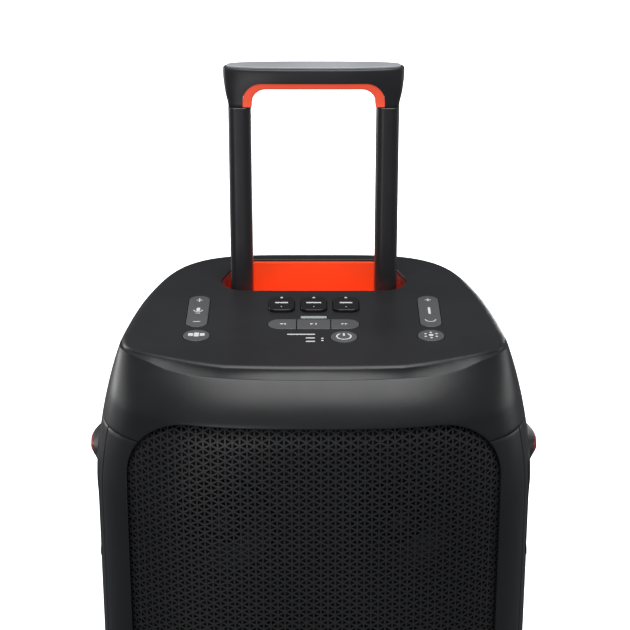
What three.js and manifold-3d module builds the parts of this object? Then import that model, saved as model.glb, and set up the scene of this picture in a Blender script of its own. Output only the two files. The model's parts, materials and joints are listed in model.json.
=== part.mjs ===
// Party speaker on a trolley handle: a tall cabinet with a perforated front, a control panel on top,
// a pull-out handle that drops into a pocket behind the controls, side carry grips and two wheels.
// Millimetres, +Z up, front towards -Y. The origin is on the ground, in the middle of the outline.
import * as THREE from 'three';
import { mergeVertices } from 'three/addons/utils/BufferGeometryUtils.js';
import Module from 'manifold-3d';

const wasm = await Module();
wasm.setup();

// ---------- driving dimensions ----------
const GAP = 0.3; // between pieces that touch
const WALL = 3; // moulded housings

// cabinet outline
const HALF_WIDTH = 154.6;
const FRONT_Y = -183.5;
const REAR_Y = 130;
const WIDEST_Y = -82; // where the cabinet is at its full width
const TOP_WIDEST_Y = -116; // the same at the top face
const BASE_Z = 10; // underside of the base, on top of the feet
const BASE_SEAM_Z = 46;
const SHOULDER_Z = 575; // the sides start to lean inwards here
const HOUSING_SEAM_Z = 625; // the top housing starts here
const BROW_Z = 643.5; // the front starts to lean back here, just above the grille
const CREASE_Z = 671; // lower crease of the brow
const TOP_Z = 687; // rear rim of the top face
const RIM_Y = 41; // rear edge of the top face
const TOP_TILT = THREE.MathUtils.degToRad(2.5); // the top face falls towards the front
const FRAME_SEAM_Y = -138; // front frame ahead of this, rear shell behind it

// grille
const GRILLE_HALF = 127;
const GRILLE_BOTTOM = 66;
const GRILLE_TOP = 642;
const GRILLE_CORNER = 44;
const GRILLE_THICK = 2;
const GRILLE_RECESS = 0.4; // behind the face of the frame
const GRILLE_GAP = 0.8; // around its edge

// pull handle
const POST_X = 52.9;
const POST_Y = -10;
const POST_W = 16.4;
const POST_D = 19;
const HANDLE_TOP = 848;
const GRIP_HALF = 64.6; // half length at the top
const GRIP_FOOT_HALF = 61; // half length where it meets the posts
const GRIP_HALF_DEPTH = 12;
const GRIP_FOOT_Z = 819;
const GRIP_UNDER_Z = 836.8; // underside of the grip shell, where the liner starts
const LINER_UNDER_Z = 832.2;
const LINER_INNER_X = 43.9;
const LINER_OUTER_X = 50.4;
const POST_END_Z = 556;
const SLEEVE_Z = 386;
const SLEEVE_WALL = 3;
const SLEEVE_GAP = 0.5;
const TANG_X = 56; // the posts hold the grip by a tang each
const TANG_HALF = 3.5;

// handle pocket in the top face
const POCKET_FRONT = -26;
const POCKET_REAR = 28;
const POCKET_FRONT_HALF = 71.7; // half width along the front edge, before the corners are rounded
const POCKET_REAR_HALF = 54; // and along the rear edge
const POCKET_CORNER = 16;
const POCKET_FLOOR = 650;
const LINER_WALL = 2.4;

// wheels
const WHEEL_R = 50;
const WHEEL_W = 28;
const WHEEL_X = 132; // middle of the tread
const WHEEL_Y = 183.5 - WHEEL_R;
const WHEEL_Z = WHEEL_R + 2; // clear of the ground until the speaker is tilted
const RIM_R = 38;
const AXLE_R = 5;
const AXLE_BORE = AXLE_R + 0.2;
const BEAM_HALF = 112;
const BEAM_REAR = 150;
const BEAM_LOW = 18;
const BEAM_TOP = 86;
const BEAM_WALL = 4;
const FOOT_R = 14;
const FRONT_FEET = [112, -128];
const REAR_FEET = [92, 72];
const WELL_GAP = 6; // around the tread
const BEARING_R = 13;
const HUB_R = 14;

// drivers behind the grille
const BAFFLE_Y = -150; // front face of the baffle
const BAFFLE_THICK = 12;
const WOOFER_Z = [185, 390];
const WOOFER_R = 84;
const WOOFER_CUT_R = 74;
const TWEETER_X = 62;
const TWEETER_Z = 555;
const TWEETER_R = 36;
const TWEETER_CUT_R = 24;
const LIGHT_RING_W = 8;

// rear fittings
const PORT_Z = 505;
const PORT_R = 30;
const PORT_RIM = 7;
const BAY_Z = 370;
const BAY_HALF_X = 58;
const BAY_HALF_Z = 44;
const BAY_FACE_Y = 125.5;
const BAY_BACK_Y = 97;
const BAY_RIM = 4;
const COVER_THICK = 3;

// side carry grips
const GRIP_BAY_Y = [-122, -40];
const GRIP_BAY_Z = [520, 572];
const GRIP_BAY_X = 124;
const GRIP_TOP_Z = 600; // top of the bezel
const BROW_X = 163; // the brow over the bay stands out to here
const TRIM_THICK = 1.5; // orange trim on the brow
const TRIM_Y = [-88, -54];
const TRIM_Z = [582, 589];
const BEZEL_X = [149, 154.8];
const GRIP_LINER_X = 154.2; // rim of the orange tub
const GRIP_LIP = 6; // bezel around the bay
const GRIP_CORNER = 14;
const GRIP_BAY_CORNER = 8;

// ---------- materials ----------
const finish = (color, roughness, metalness) => ({ color, roughness, metalness });
const CHARCOAL = finish(0x242528, 0.5, 0);
const BLACK = finish(0x141416, 0.6, 0);
const ORANGE = finish(0xff4515, 0.45, 0);
const GREY = finish(0x5f6165, 0.45, 0);
const GRILLE_METAL = finish(0x2a2a2d, 0.45, 0.7);
const STEEL = finish(0x9a9c9f, 0.3, 1);
const RUBBER = finish(0x18181a, 0.85, 0);
const PAPER = finish(0x1c1c1e, 0.8, 0);
const CLEAR = finish(0xd8dade, 0.3, 0);
const BOARD = finish(0x1f5a38, 0.6, 0);

// ---------- solids ----------
const speaker = new THREE.Group();

function solid(geometry) {
  const bare = geometry.clone();
  bare.deleteAttribute('normal');
  bare.deleteAttribute('uv');
  const merged = mergeVertices(bare, 1e-4);
  return new wasm.Manifold(new wasm.Mesh({
    numProp: 3,
    vertProperties: new Float32Array(merged.attributes.position.array),
    triVerts: new Uint32Array(merged.index.array),
  }));
}

function toGeometry(shape) {
  const mesh = shape.getMesh();
  const geometry = new THREE.BufferGeometry();
  geometry.setAttribute('position', new THREE.BufferAttribute(mesh.vertProperties, 3));
  geometry.setIndex(new THREE.BufferAttribute(mesh.triVerts, 1));
  return geometry;
}

function add(name, look, shape, parent = speaker) {
  const mesh = new THREE.Mesh(toGeometry(shape), new THREE.MeshStandardMaterial(look));
  mesh.name = name;
  parent.add(mesh);
  return mesh;
}

function block(x, y, z) {
  const box = new THREE.BoxGeometry(x[1] - x[0], y[1] - y[0], z[1] - z[0]);
  return solid(box.translate((x[0] + x[1]) / 2, (y[0] + y[1]) / 2, (z[0] + z[1]) / 2));
}

function rodX(radius, x, y, z, segments = 16) {
  const rod = new THREE.CylinderGeometry(radius, radius, x[1] - x[0], segments);
  return solid(rod.rotateZ(Math.PI / 2).translate((x[0] + x[1]) / 2, y, z));
}

function rodY(radius, x, y, z, segments = 16) {
  const rod = new THREE.CylinderGeometry(radius, radius, y[1] - y[0], segments);
  return solid(rod.translate(x, (y[0] + y[1]) / 2, z));
}

function rodZ(radius, x, y, z, segments = 16) {
  const rod = new THREE.CylinderGeometry(radius, radius, z[1] - z[0], segments);
  return solid(rod.rotateX(Math.PI / 2).translate(x, y, (z[0] + z[1]) / 2));
}

// The low corners, at v[0], can have a radius of their own.
function roundedRect(u, v, radius, steps = 3, lowRadius = radius) {
  const shape = new THREE.Shape();
  const corners = [
    [u[1], v[1], 0, radius], [u[0], v[1], 1, radius], [u[0], v[0], 2, lowRadius], [u[1], v[0], 3, lowRadius],
  ];
  for (const [cu, cv, quarter, bend] of corners) {
    const middleU = cu === u[1] ? cu - bend : cu + bend;
    const middleV = cv === v[1] ? cv - bend : cv + bend;
    for (let i = 0; i <= steps; i += 1) {
      const angle = (quarter + i / steps) * Math.PI / 2;
      const pu = middleU + bend * Math.cos(angle);
      const pv = middleV + bend * Math.sin(angle);
      if (quarter === 0 && i === 0) shape.moveTo(pu, pv);
      else shape.lineTo(pu, pv);
    }
  }
  return shape;
}

// The corners are [x, y, radius], anticlockwise.
function roundedPolygon(corners, steps = 5) {
  const points = [];
  for (const [i, [x, y, radius]] of corners.entries()) {
    const corner = new THREE.Vector2(x, y);
    const towards = ([u, v]) => new THREE.Vector2(u, v).sub(corner).normalize();
    const before = towards(corners.at(i - 1));
    const after = towards(corners[(i + 1) % corners.length]);
    const half = Math.acos(before.dot(after)) / 2;
    const middle = before.clone().add(after).setLength(radius / Math.sin(half)).add(corner);
    const start = before.clone().setLength(radius / Math.tan(half)).add(corner).sub(middle).angle();
    for (let step = 0; step <= steps; step += 1) {
      const angle = start + (Math.PI - 2 * half) * step / steps;
      points.push(new THREE.Vector2(radius * Math.cos(angle), radius * Math.sin(angle)).add(middle));
    }
  }
  return new THREE.Shape(points);
}

const extrude = (shape, depth) =>
  new THREE.ExtrudeGeometry(shape, { depth, bevelEnabled: false, curveSegments: 6 });

// The outline's axes are X and Y, and it rises along Z.
const upright = (shape, z) => solid(extrude(shape, z[1] - z[0]).translate(0, 0, z[0]));
// The outline's axes are X and Z, and it runs along Y.
const facing = (shape, y) =>
  solid(extrude(shape, y[1] - y[0]).rotateX(Math.PI / 2).translate(0, y[1], 0));
// The outline's axes are Y and Z, and it runs along X.
const sideways = (shape, x) =>
  solid(extrude(shape, x[1] - x[0]).rotateX(Math.PI / 2).rotateZ(Math.PI / 2).translate(x[0], 0, 0));

// Turned pieces: the profile holds [radius, place along the axis] pairs. It starts and ends on the
// axis, or it closes on itself, and it has to run anticlockwise for the faces to point out.
function turned(profile, segments) {
  const points = profile.map(([radius, along]) => new THREE.Vector2(radius, along));
  if (THREE.ShapeUtils.isClockWise(points)) points.reverse();
  if (points[0].x > 0) points.push(points[0].clone());
  return new THREE.LatheGeometry(points, segments);
}

const turnedY = (profile, x, z, segments = 22) => solid(turned(profile, segments).translate(x, 0, z));
const turnedX = (profile, y, z, segments = 24) =>
  solid(turned(profile, segments).rotateZ(-Math.PI / 2).translate(0, y, z));

const mirrored = (shape) => shape.mirror([1, 0, 0]);

// ---------- cabinet outline ----------
const clamp01 = (value) => Math.min(1, Math.max(0, value));

function frontY(z) {
  if (z > CREASE_Z) return -164 + 0.95 * (z - CREASE_Z);
  const lean = clamp01((z - BROW_Z) / (CREASE_Z - BROW_Z));
  const belly = clamp01((z - 500) / (BROW_Z - 500));
  return FRONT_Y + belly ** 2 + 18.5 * lean ** 1.6;
}

function rearY(z) {
  const rise = clamp01((z - 250) / (TOP_Z - 250));
  return REAR_Y - (REAR_Y - RIM_Y) * rise ** 2.2;
}

// Everything that sets the outline at height z, moved inwards by inset.
function outlineAt(z, inset) {
  const lean = Math.max(0, (z - SHOULDER_Z) / (680 - SHOULDER_Z));
  const tuck = 5 * clamp01((BASE_SEAM_Z - z) / (BASE_SEAM_Z - BASE_Z)) ** 2;
  const crown = clamp01((z - 560) / (680 - 560)) ** 2;
  return {
    half: HALF_WIDTH - 21.4 * lean ** 1.7 - tuck - inset,
    widest: THREE.MathUtils.lerp(WIDEST_Y, TOP_WIDEST_Y, crown),
    front: frontY(z) + tuck + inset,
    rear: rearY(z) - tuck - inset,
    frontPower: THREE.MathUtils.lerp(3.3, 2.25, crown),
    rearPower: THREE.MathUtils.lerp(3.6, 4.6, crown),
    taper: THREE.MathUtils.lerp(0.12, 0.175, crown),
  };
}

const signedPower = (value, power) => Math.sign(value) * Math.abs(value) ** power;

function outlinePoint(outline, angle) {
  const behind = Math.sin(angle) > 0;
  const power = 2 / (behind ? outline.rearPower : outline.frontPower);
  const along = signedPower(Math.sin(angle), power);
  const reach = behind ? outline.rear - outline.widest : outline.widest - outline.front;
  const narrowing = behind ? 1 - outline.taper * along ** 1.3 : 1;
  return [outline.half * narrowing * signedPower(Math.cos(angle), power), outline.widest + reach * along];
}

const LEVELS = [BASE_Z, 24, BASE_SEAM_Z, 250, 420, 530, 590, HOUSING_SEAM_Z, BROW_Z, 658, CREASE_Z, 690];

function cabinet(inset, segments = 44) {
  const rings = LEVELS.length - 1;
  const loft = new THREE.CylinderGeometry(1, 1, 1, segments, rings).rotateX(Math.PI / 2);
  const position = loft.attributes.position;
  for (let i = 0; i < position.count; i += 1) {
    const level = Math.round((position.getZ(i) + 0.5) * rings);
    const outline = outlineAt(LEVELS[level], inset);
    const radius = Math.hypot(position.getX(i), position.getY(i));
    const [x, y] = outlinePoint(outline, Math.atan2(position.getY(i), position.getX(i)));
    position.setXYZ(i, x * radius, outline.widest + (y - outline.widest) * radius, LEVELS[level]);
  }
  return solid(loft);
}

// The top face is a group of its own, so that everything on it is placed on the tilted face.
const topFace = new THREE.Group();
topFace.position.set(0, RIM_Y, TOP_Z);
topFace.rotation.x = TOP_TILT;
topFace.updateMatrixWorld();
speaker.add(topFace);

const inTopFace = (geometry) => solid(geometry.clone().applyMatrix4(topFace.matrixWorld));
const above = (height) =>
  inTopFace(new THREE.BoxGeometry(500, 600, 120).translate(0, -120, 60 + height));

const outer = cabinet(0).subtract(above(0));
const inner = cabinet(WALL).subtract(above(-WALL));
const ends = (z) => block([-200, 200], [-220, 220], z);

// ---------- handle pocket ----------
// Its ends slant inwards to the rear.
function pocketOutline(grow) {
  const slant = (POCKET_FRONT_HALF - POCKET_REAR_HALF) / (POCKET_REAR - POCKET_FRONT);
  const shift = grow * Math.hypot(1, slant);
  const frontX = POCKET_FRONT_HALF + shift + grow * slant;
  const rearX = POCKET_REAR_HALF + shift - grow * slant;
  const radius = POCKET_CORNER + grow;
  return roundedPolygon([
    [frontX, POCKET_FRONT - grow, radius],
    [rearX, POCKET_REAR + grow, radius],
    [-rearX, POCKET_REAR + grow, radius],
    [-frontX, POCKET_FRONT - grow, radius],
  ]);
}

const postOutline = (grow) => roundedRect(
  [-POST_W / 2 - grow, POST_W / 2 + grow],
  [-POST_D / 2 - grow, POST_D / 2 + grow],
  5.5 + grow,
);
const postAt = (side, grow, z) => upright(postOutline(grow), z).translate([side * POST_X, POST_Y, 0]);

// ---------- controls on the top face ----------
const KEY_X = 23.1;
const KEY_SPAN = [-68.5, -44.5];
const MEDIA_SPAN = [-97.6, -81.2];
const MEDIA_HALF = 32;
const MEDIA_SPLIT = 12;
const ROCKER_X = 82.4;
const ROCKER_SPAN = [-94.2, -40];
const ROUND_Y = -108.8;
const POWER_SPOT = [20.9, -111];
const BUTTON_R = 9.2;
const KEY_HALF = 9.3;
const ROCKER_HALF = 7.5;
const ROUND_X = 81.3;
const WINDOW_SPAN = [-78.6, -74.8];
const CONTROL_GAP = 0.45; // between a control and its hole
const CONTROL_SINK = -4; // how far the controls go down below the top face
const KEY_TOP = 2.2;
const ROUND_TOP = 0.7;
const ROCKER_TOP = 0.6;
const MEDIA_TOP = 0.5;
const WINDOW_TOP = 0.1;

const local = (y) => (y - RIM_Y) / Math.cos(TOP_TILT);
const span = (range) => [local(range[0]), local(range[1])];
const button = (shape, bottom, top) => extrude(shape, top - bottom).translate(0, 0, bottom);

function circle(x, y, radius) {
  const shape = new THREE.Shape();
  shape.absarc(x, local(y), radius, 0, Math.PI * 2, false);
  return new THREE.Shape(shape.getPoints(8).slice(0, -1));
}

const mediaPill = (grow) => {
  const [low, high] = span(MEDIA_SPAN);
  const radius = (MEDIA_SPAN[1] - MEDIA_SPAN[0]) / 2 - 0.1;
  return roundedRect([-MEDIA_HALF - grow, MEDIA_HALF + grow], [low - grow, high + grow], radius + grow, 4);
};

function mediaKey(index) {
  const edges = [-MEDIA_HALF, -MEDIA_SPLIT, MEDIA_SPLIT, MEDIA_HALF];
  const left = edges[index] + (index > 0 ? GAP : 0);
  const right = edges[index + 1] - (index < 2 ? GAP : 0);
  const slice = new THREE.BoxGeometry(right - left, 60, 20);
  slice.translate((left + right) / 2, local(MEDIA_SPAN[0]), 0);
  return solid(button(mediaPill(0), CONTROL_SINK, MEDIA_TOP)).intersect(solid(slice));
}

const roundControl = (name, x, y) => ({
  name, look: GREY, outline: (grow) => circle(x, y, BUTTON_R + grow), top: ROUND_TOP,
});

const controls = [
  ...[-1, 0, 1].map((place) => ({
    name: `key_${['left', 'middle', 'right'][place + 1]}`,
    look: BLACK,
    outline: (grow) => roundedRect([place * KEY_X - KEY_HALF - grow, place * KEY_X + KEY_HALF + grow],
      [local(KEY_SPAN[0]) - grow, local(KEY_SPAN[1]) + grow], 4 + grow, 2),
    top: KEY_TOP,
  })),
  roundControl('power_button', ...POWER_SPOT),
  roundControl('sound_button', -ROUND_X, ROUND_Y),
  roundControl('light_button', ROUND_X, ROUND_Y),
  ...[-1, 1].map((side) => ({
    name: `level_rocker_${side < 0 ? 'left' : 'right'}`,
    look: GREY,
    outline: (grow) => roundedRect(
      [side * ROCKER_X - ROCKER_HALF - grow, side * ROCKER_X + ROCKER_HALF + grow],
      [local(ROCKER_SPAN[0]) - grow, local(ROCKER_SPAN[1]) + grow],
      ROCKER_HALF - 0.2 + grow,
      4,
    ),
    top: ROCKER_TOP,
  })),
  {
    name: 'status_window',
    look: CLEAR,
    outline: (grow) => roundedRect([-KEY_HALF - grow, KEY_HALF + grow],
      [local(WINDOW_SPAN[0]) - grow, local(WINDOW_SPAN[1]) + grow], 0.8 + grow, 1),
    top: WINDOW_TOP,
  },
];

for (const control of controls) {
  add(control.name, control.look, solid(button(control.outline(0), CONTROL_SINK, control.top)), topFace);
}
for (const [index, place] of ['left', 'middle', 'right'].entries()) {
  add(`media_key_${place}`, GREY, mediaKey(index), topFace);
}
const BOARD_SIZE = [196, 88, 1.6];
add('control_board', BOARD,
  solid(new THREE.BoxGeometry(...BOARD_SIZE).translate(0, local(-84), -9)), topFace);

// ---------- housings ----------
let topHousing = outer.subtract(inner).intersect(ends([HOUSING_SEAM_Z + GAP, 700]));
for (const outline of [...controls.map((control) => control.outline(CONTROL_GAP)), mediaPill(CONTROL_GAP)]) {
  topHousing = topHousing.subtract(inTopFace(button(outline, -8, 6)));
}
topHousing = topHousing.subtract(upright(pocketOutline(LINER_WALL + GAP), [640, 700]));

const grilleOutline = (grow) => roundedRect(
  [-GRILLE_HALF - grow, GRILLE_HALF + grow],
  [GRILLE_BOTTOM - grow, GRILLE_TOP + grow],
  GRILLE_CORNER + grow,
  5,
);
const grilleOpening = facing(grilleOutline(GRILLE_GAP), [-230, -140]);
topHousing = topHousing.subtract(grilleOpening);
add('top_housing', CHARCOAL, topHousing);

const shellBand = outer.subtract(inner).intersect(ends([BASE_SEAM_Z + GAP, HOUSING_SEAM_Z]));
const frontRegion = block([-200, 200], [-220, FRAME_SEAM_Y - GAP], [0, 700]);
const rearRegion = block([-200, 200], [FRAME_SEAM_Y, 220], [0, 700]);
add('front_frame', CHARCOAL, shellBand.intersect(frontRegion).subtract(grilleOpening));

const wheelWell = (side) =>
  rodX(WHEEL_R + WELL_GAP, side < 0 ? [-180, -BEAM_HALF] : [BEAM_HALF, 180], WHEEL_Y, WHEEL_Z, 24);
const wells = wheelWell(-1).add(wheelWell(1));
const beam = (grow) =>
  block([-BEAM_HALF - grow, BEAM_HALF + grow], [60, BEAM_REAR + grow], [BEAM_LOW - grow, BEAM_TOP + grow]);
const bayOutline = (grow) => roundedRect([-BAY_HALF_X - BAY_RIM - grow, BAY_HALF_X + BAY_RIM + grow],
  [BAY_Z - BAY_HALF_Z - BAY_RIM - grow, BAY_Z + BAY_HALF_Z + BAY_RIM + grow], 8 + grow);
const sideGripOutline = (grow) => roundedRect(
  [GRIP_BAY_Y[0] - GRIP_LIP - grow, GRIP_BAY_Y[1] + GRIP_LIP + grow],
  [GRIP_BAY_Z[0] - GRIP_LIP - grow, GRIP_TOP_Z + grow],
  GRIP_CORNER + grow,
);

let rearShell = shellBand.intersect(rearRegion)
  .subtract(wells)
  .subtract(beam(GAP))
  .subtract(facing(bayOutline(GAP), [80, 200]))
  .subtract(rodY(PORT_R + PORT_RIM + GAP, 0, [60, 200], PORT_Z, 22));
for (const side of [-1, 1]) {
  const hole = sideways(sideGripOutline(GAP), side < 0 ? [-200, -100] : [100, 200]);
  rearShell = rearShell.subtract(hole);
}
add('rear_shell', CHARCOAL, rearShell);

// ---------- grille and baffle ----------
const grilleSheet = cabinet(GRILLE_RECESS).subtract(cabinet(GRILLE_RECESS + GRILLE_THICK));
add('grille', GRILLE_METAL, grilleSheet.intersect(facing(grilleOutline(0), [-230, -140])));

let baffle = facing(roundedRect([-130, 130], [58, 628], 30), [BAFFLE_Y, BAFFLE_Y + BAFFLE_THICK]);
for (const z of WOOFER_Z) baffle = baffle.subtract(rodY(WOOFER_CUT_R + GAP, 0, [-160, -130], z, 22));
for (const side of [-1, 1]) {
  baffle = baffle.subtract(rodY(TWEETER_CUT_R + GAP, side * TWEETER_X, [-160, -130], TWEETER_Z));
}
add('baffle', BLACK, baffle);

// ---------- drivers ----------
for (const [index, z] of WOOFER_Z.entries()) {
  const place = ['lower', 'upper'][index];
  const face = BAFFLE_Y - GAP;
  add(`woofer_frame_${place}`, BLACK, turnedY([
    [WOOFER_R, face], [WOOFER_R, face - 4], [WOOFER_CUT_R - 4, face - 4], [40, face + 46],
    [40, face + 54], [14, face + 54], [14, face + 74], [42, face + 74], [43, face + 46],
    [WOOFER_CUT_R - 1, face],
  ], 0, z));
  add(`woofer_cone_${place}`, PAPER, turnedY([
    [0, face + 16], [22, face + 25], [58, face + 1], [64, face - 5], [68.6, face - 3.4],
    [58, face + 4], [26, face + 30], [13.4, face + 32], [13.4, face + 66], [0, face + 66],
  ], 0, z));
  add(`light_ring_${place}`, CLEAR, turnedY([
    [WOOFER_R + 1, face], [WOOFER_R + 1 + LIGHT_RING_W, face],
    [WOOFER_R + 1 + LIGHT_RING_W, face - 5], [WOOFER_R + 1, face - 5],
  ], 0, z));
}
for (const side of [-1, 1]) {
  add(`tweeter_${side < 0 ? 'left' : 'right'}`, BLACK, turnedY([
    [0, -154], [12.5, -150.5], [TWEETER_R - 2, -155], [TWEETER_R, -150.3],
    [TWEETER_CUT_R - 0.5, -150.3], [TWEETER_CUT_R - 0.5, -128], [0, -128],
  ], side * TWEETER_X, TWEETER_Z, 16));
}

// ---------- bass port ----------
const portMouth = rearY(PORT_Z) + 1.5;
add('bass_port', BLACK, turnedY([
  [PORT_R, 30], [PORT_R + WALL, 30], [PORT_R + WALL, portMouth - 12], [PORT_R + PORT_RIM, portMouth - 4],
  [PORT_R + PORT_RIM, portMouth], [PORT_R + 4, portMouth], [PORT_R, portMouth - 10],
], 0, PORT_Z));

// ---------- socket bay at the back ----------
const hingeY = BAY_FACE_Y - 3.4;
const hingeZ = BAY_Z - BAY_HALF_Z + 3.2;
const HINGE_PIN_R = 1.2;
const HINGE_BORE = HINGE_PIN_R + 0.15;
const BARREL_R = 2.6;
const COVER_HALF = BAY_HALF_X - 0.6;
const bayInside = roundedRect([-BAY_HALF_X, BAY_HALF_X], [BAY_Z - BAY_HALF_Z, BAY_Z + BAY_HALF_Z], 1, 1);
let bay = facing(bayOutline(0), [BAY_BACK_Y - 3, BAY_FACE_Y]).subtract(facing(bayInside, [BAY_BACK_Y, 140]));
const INLET_HALF_X = 13.7;
const INLET_HALF_Z = 10.7;
const SOCKET = { inletX: -32, blockX: [4, 50], z: [BAY_Z - 24, BAY_Z + 24] };
const inletOutline = (grow) => roundedRect(
  [SOCKET.inletX - INLET_HALF_X - grow, SOCKET.inletX + INLET_HALF_X + grow],
  [BAY_Z - INLET_HALF_Z - grow, BAY_Z + INLET_HALF_Z + grow],
  3,
  2,
);
bay = bay.subtract(facing(inletOutline(GAP), [80, 100]));
bay = bay.subtract(facing(roundedRect(SOCKET.blockX, SOCKET.z, 3, 2), [80, 100]));
bay = bay.subtract(rodX(HINGE_BORE, [-BAY_HALF_X - 2, BAY_HALF_X + 2], hingeY, hingeZ, 12));
add('socket_bay', BLACK, bay);

const coverHeight = [hingeZ, BAY_Z + BAY_HALF_Z - 0.5];
const cover = facing(roundedRect([-COVER_HALF, COVER_HALF], coverHeight, 1, 1),
  [hingeY - COVER_THICK / 2, hingeY + COVER_THICK / 2])
  .add(rodX(BARREL_R, [-COVER_HALF, COVER_HALF], hingeY, hingeZ, 16))
  .subtract(rodX(HINGE_BORE, [-70, 70], hingeY, hingeZ, 12));
add('socket_cover', RUBBER, cover);
add('cover_hinge_pin', STEEL, rodX(HINGE_PIN_R, [-BAY_HALF_X - 1.5, BAY_HALF_X + 1.5], hingeY, hingeZ, 12));

const PIN_R = 1.2;
const PIN_X = 4.4; // each pin from the middle of the inlet
const INLET_CAVITY_R = 5.2;
const inletBody = facing(inletOutline(0), [78, BAY_BACK_Y + 2]);
const inletCavity = rodY(INLET_CAVITY_R, SOCKET.inletX - PIN_X, [82, 110], BAY_Z, 20)
  .add(rodY(INLET_CAVITY_R, SOCKET.inletX + PIN_X, [82, 110], BAY_Z, 20));
let inlet = inletBody.subtract(inletCavity);
for (const side of [-1, 1]) {
  inlet = inlet.add(rodY(PIN_R, SOCKET.inletX + side * PIN_X, [80, 94], BAY_Z, 10));
}
add('mains_inlet', BLACK, inlet);

const JACK_X = 38;
const JACK_Z = [BAY_Z - 14, BAY_Z + 14];
const JACK_R = 3.3;
const USB_X = 16;
const USB_HALF = 6.5;
const USB_Z = [BAY_Z - 16.5, BAY_Z - 11.5];
const LAMP_R = 1.8; // charge lamp
let sockets = facing(roundedRect([SOCKET.blockX[0] + GAP, SOCKET.blockX[1] - GAP],
  [SOCKET.z[0] + GAP, SOCKET.z[1] - GAP], 2.7, 2), [76, BAY_BACK_Y + 1.2]);
for (const z of JACK_Z) sockets = sockets.subtract(rodY(JACK_R, JACK_X, [80, 110], z, 20));
sockets = sockets.subtract(block([USB_X - USB_HALF, USB_X + USB_HALF], [84, 110], USB_Z));
sockets = sockets.subtract(rodY(LAMP_R, USB_X, [84, 110], JACK_Z[1], 12));
add('socket_block', BLACK, sockets);

// ---------- base, feet, wheels ----------
const BASE_FLOOR = 4;
const hollow = inner.intersect(block([-200, 200], [-220, 220], [BASE_Z + BASE_FLOOR, 120]));
const beamHollow = block([-BEAM_HALF + BEAM_WALL, BEAM_HALF - BEAM_WALL], [40, BEAM_REAR - BEAM_WALL],
  [BEAM_LOW + BEAM_WALL, BEAM_TOP - BEAM_WALL]);
const tub = outer.intersect(ends([0, BASE_SEAM_Z])).subtract(hollow);
let base = tub.add(beam(0)).subtract(beamHollow).subtract(wells);
const sideBearing = (side) =>
  rodX(BEARING_R, side < 0 ? [-BEAM_HALF - 2, -90] : [90, BEAM_HALF + 2], WHEEL_Y, WHEEL_Z, 24);
base = base.add(sideBearing(-1)).add(sideBearing(1));
base = base.subtract(rodX(AXLE_BORE, [-180, 180], WHEEL_Y, WHEEL_Z));
add('base', BLACK, base);

for (const [end, [x, y]] of [['front', FRONT_FEET], ['rear', REAR_FEET]]) {
  for (const side of [-1, 1]) {
    const name = `foot_${end}_${side < 0 ? 'left' : 'right'}`;
    add(name, RUBBER, rodZ(FOOT_R, side * x, y, [0, BASE_Z - GAP]));
  }
}

const wheelInner = WHEEL_X - WHEEL_W / 2;
const wheelOuter = WHEEL_X + WHEEL_W / 2;
const tyre = turnedX([
  [RIM_R, wheelInner + 2], [WHEEL_R - 3, wheelInner + 1], [WHEEL_R, wheelInner + 5],
  [WHEEL_R, wheelOuter - 5], [WHEEL_R - 3, wheelOuter - 1], [RIM_R, wheelOuter - 2],
], WHEEL_Y, WHEEL_Z, 32);
const hub = turnedX([
  [AXLE_BORE, wheelInner], [HUB_R, wheelInner], [HUB_R, WHEEL_X + 1], [RIM_R - 5, WHEEL_X + 1],
  [RIM_R - 5, wheelInner + 2], [RIM_R - GAP, wheelInner + 2], [RIM_R - GAP, wheelOuter - 2],
  [RIM_R - 5, wheelOuter - 2], [RIM_R - 6, WHEEL_X + 6], [HUB_R, WHEEL_X + 6], [HUB_R - 2, wheelOuter + 1],
  [0, wheelOuter + 1], [0, wheelOuter - 3], [AXLE_BORE, wheelOuter - 3],
], WHEEL_Y, WHEEL_Z);
for (const side of [-1, 1]) {
  const place = side < 0 ? 'left' : 'right';
  add(`tyre_${place}`, RUBBER, side < 0 ? mirrored(tyre) : tyre);
  add(`wheel_hub_${place}`, BLACK, side < 0 ? mirrored(hub) : hub);
}
add('axle', STEEL, rodX(AXLE_R, [-wheelOuter + 3.5, wheelOuter - 3.5], WHEEL_Y, WHEEL_Z));

// ---------- handle pocket liner ----------
let pocketLiner = upright(pocketOutline(LINER_WALL), [POCKET_FLOOR - LINER_WALL, 700])
  .subtract(upright(pocketOutline(0), [POCKET_FLOOR, 710]))
  .subtract(above(-0.2));
for (const side of [-1, 1]) pocketLiner = pocketLiner.subtract(postAt(side, 0.4, [600, 700]));
add('handle_pocket_liner', ORANGE, pocketLiner);

for (const side of [-1, 1]) {
  const place = side < 0 ? 'left' : 'right';
  const sleeveTop = POCKET_FLOOR - LINER_WALL - GAP;
  const bore = postAt(side, SLEEVE_GAP, [380, 660]);
  const sleeve = postAt(side, SLEEVE_WALL + SLEEVE_GAP, [SLEEVE_Z, sleeveTop]).subtract(bore);
  add(`guide_sleeve_${place}`, BLACK, sleeve);
}

// ---------- pull handle ----------
// Plan outlines of the grip, as [height, half length, half depth, power]: a lens at the top that
// turns into the section of the posts at the foot.
const GRIP_PLANS = [
  [GRIP_FOOT_Z, GRIP_FOOT_HALF, 10.2, 5.5],
  [822, GRIP_FOOT_HALF + 0.4, 10.2, 5],
  [829, GRIP_FOOT_HALF + 2.1, 10.8, 4.2],
  [839, GRIP_HALF - 0.2, GRIP_HALF_DEPTH, 3.2],
  [HANDLE_TOP - 2, GRIP_HALF, GRIP_HALF_DEPTH, 2.9],
  [HANDLE_TOP, GRIP_HALF - 1.6, GRIP_HALF_DEPTH - 1, 2.8],
];

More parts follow.
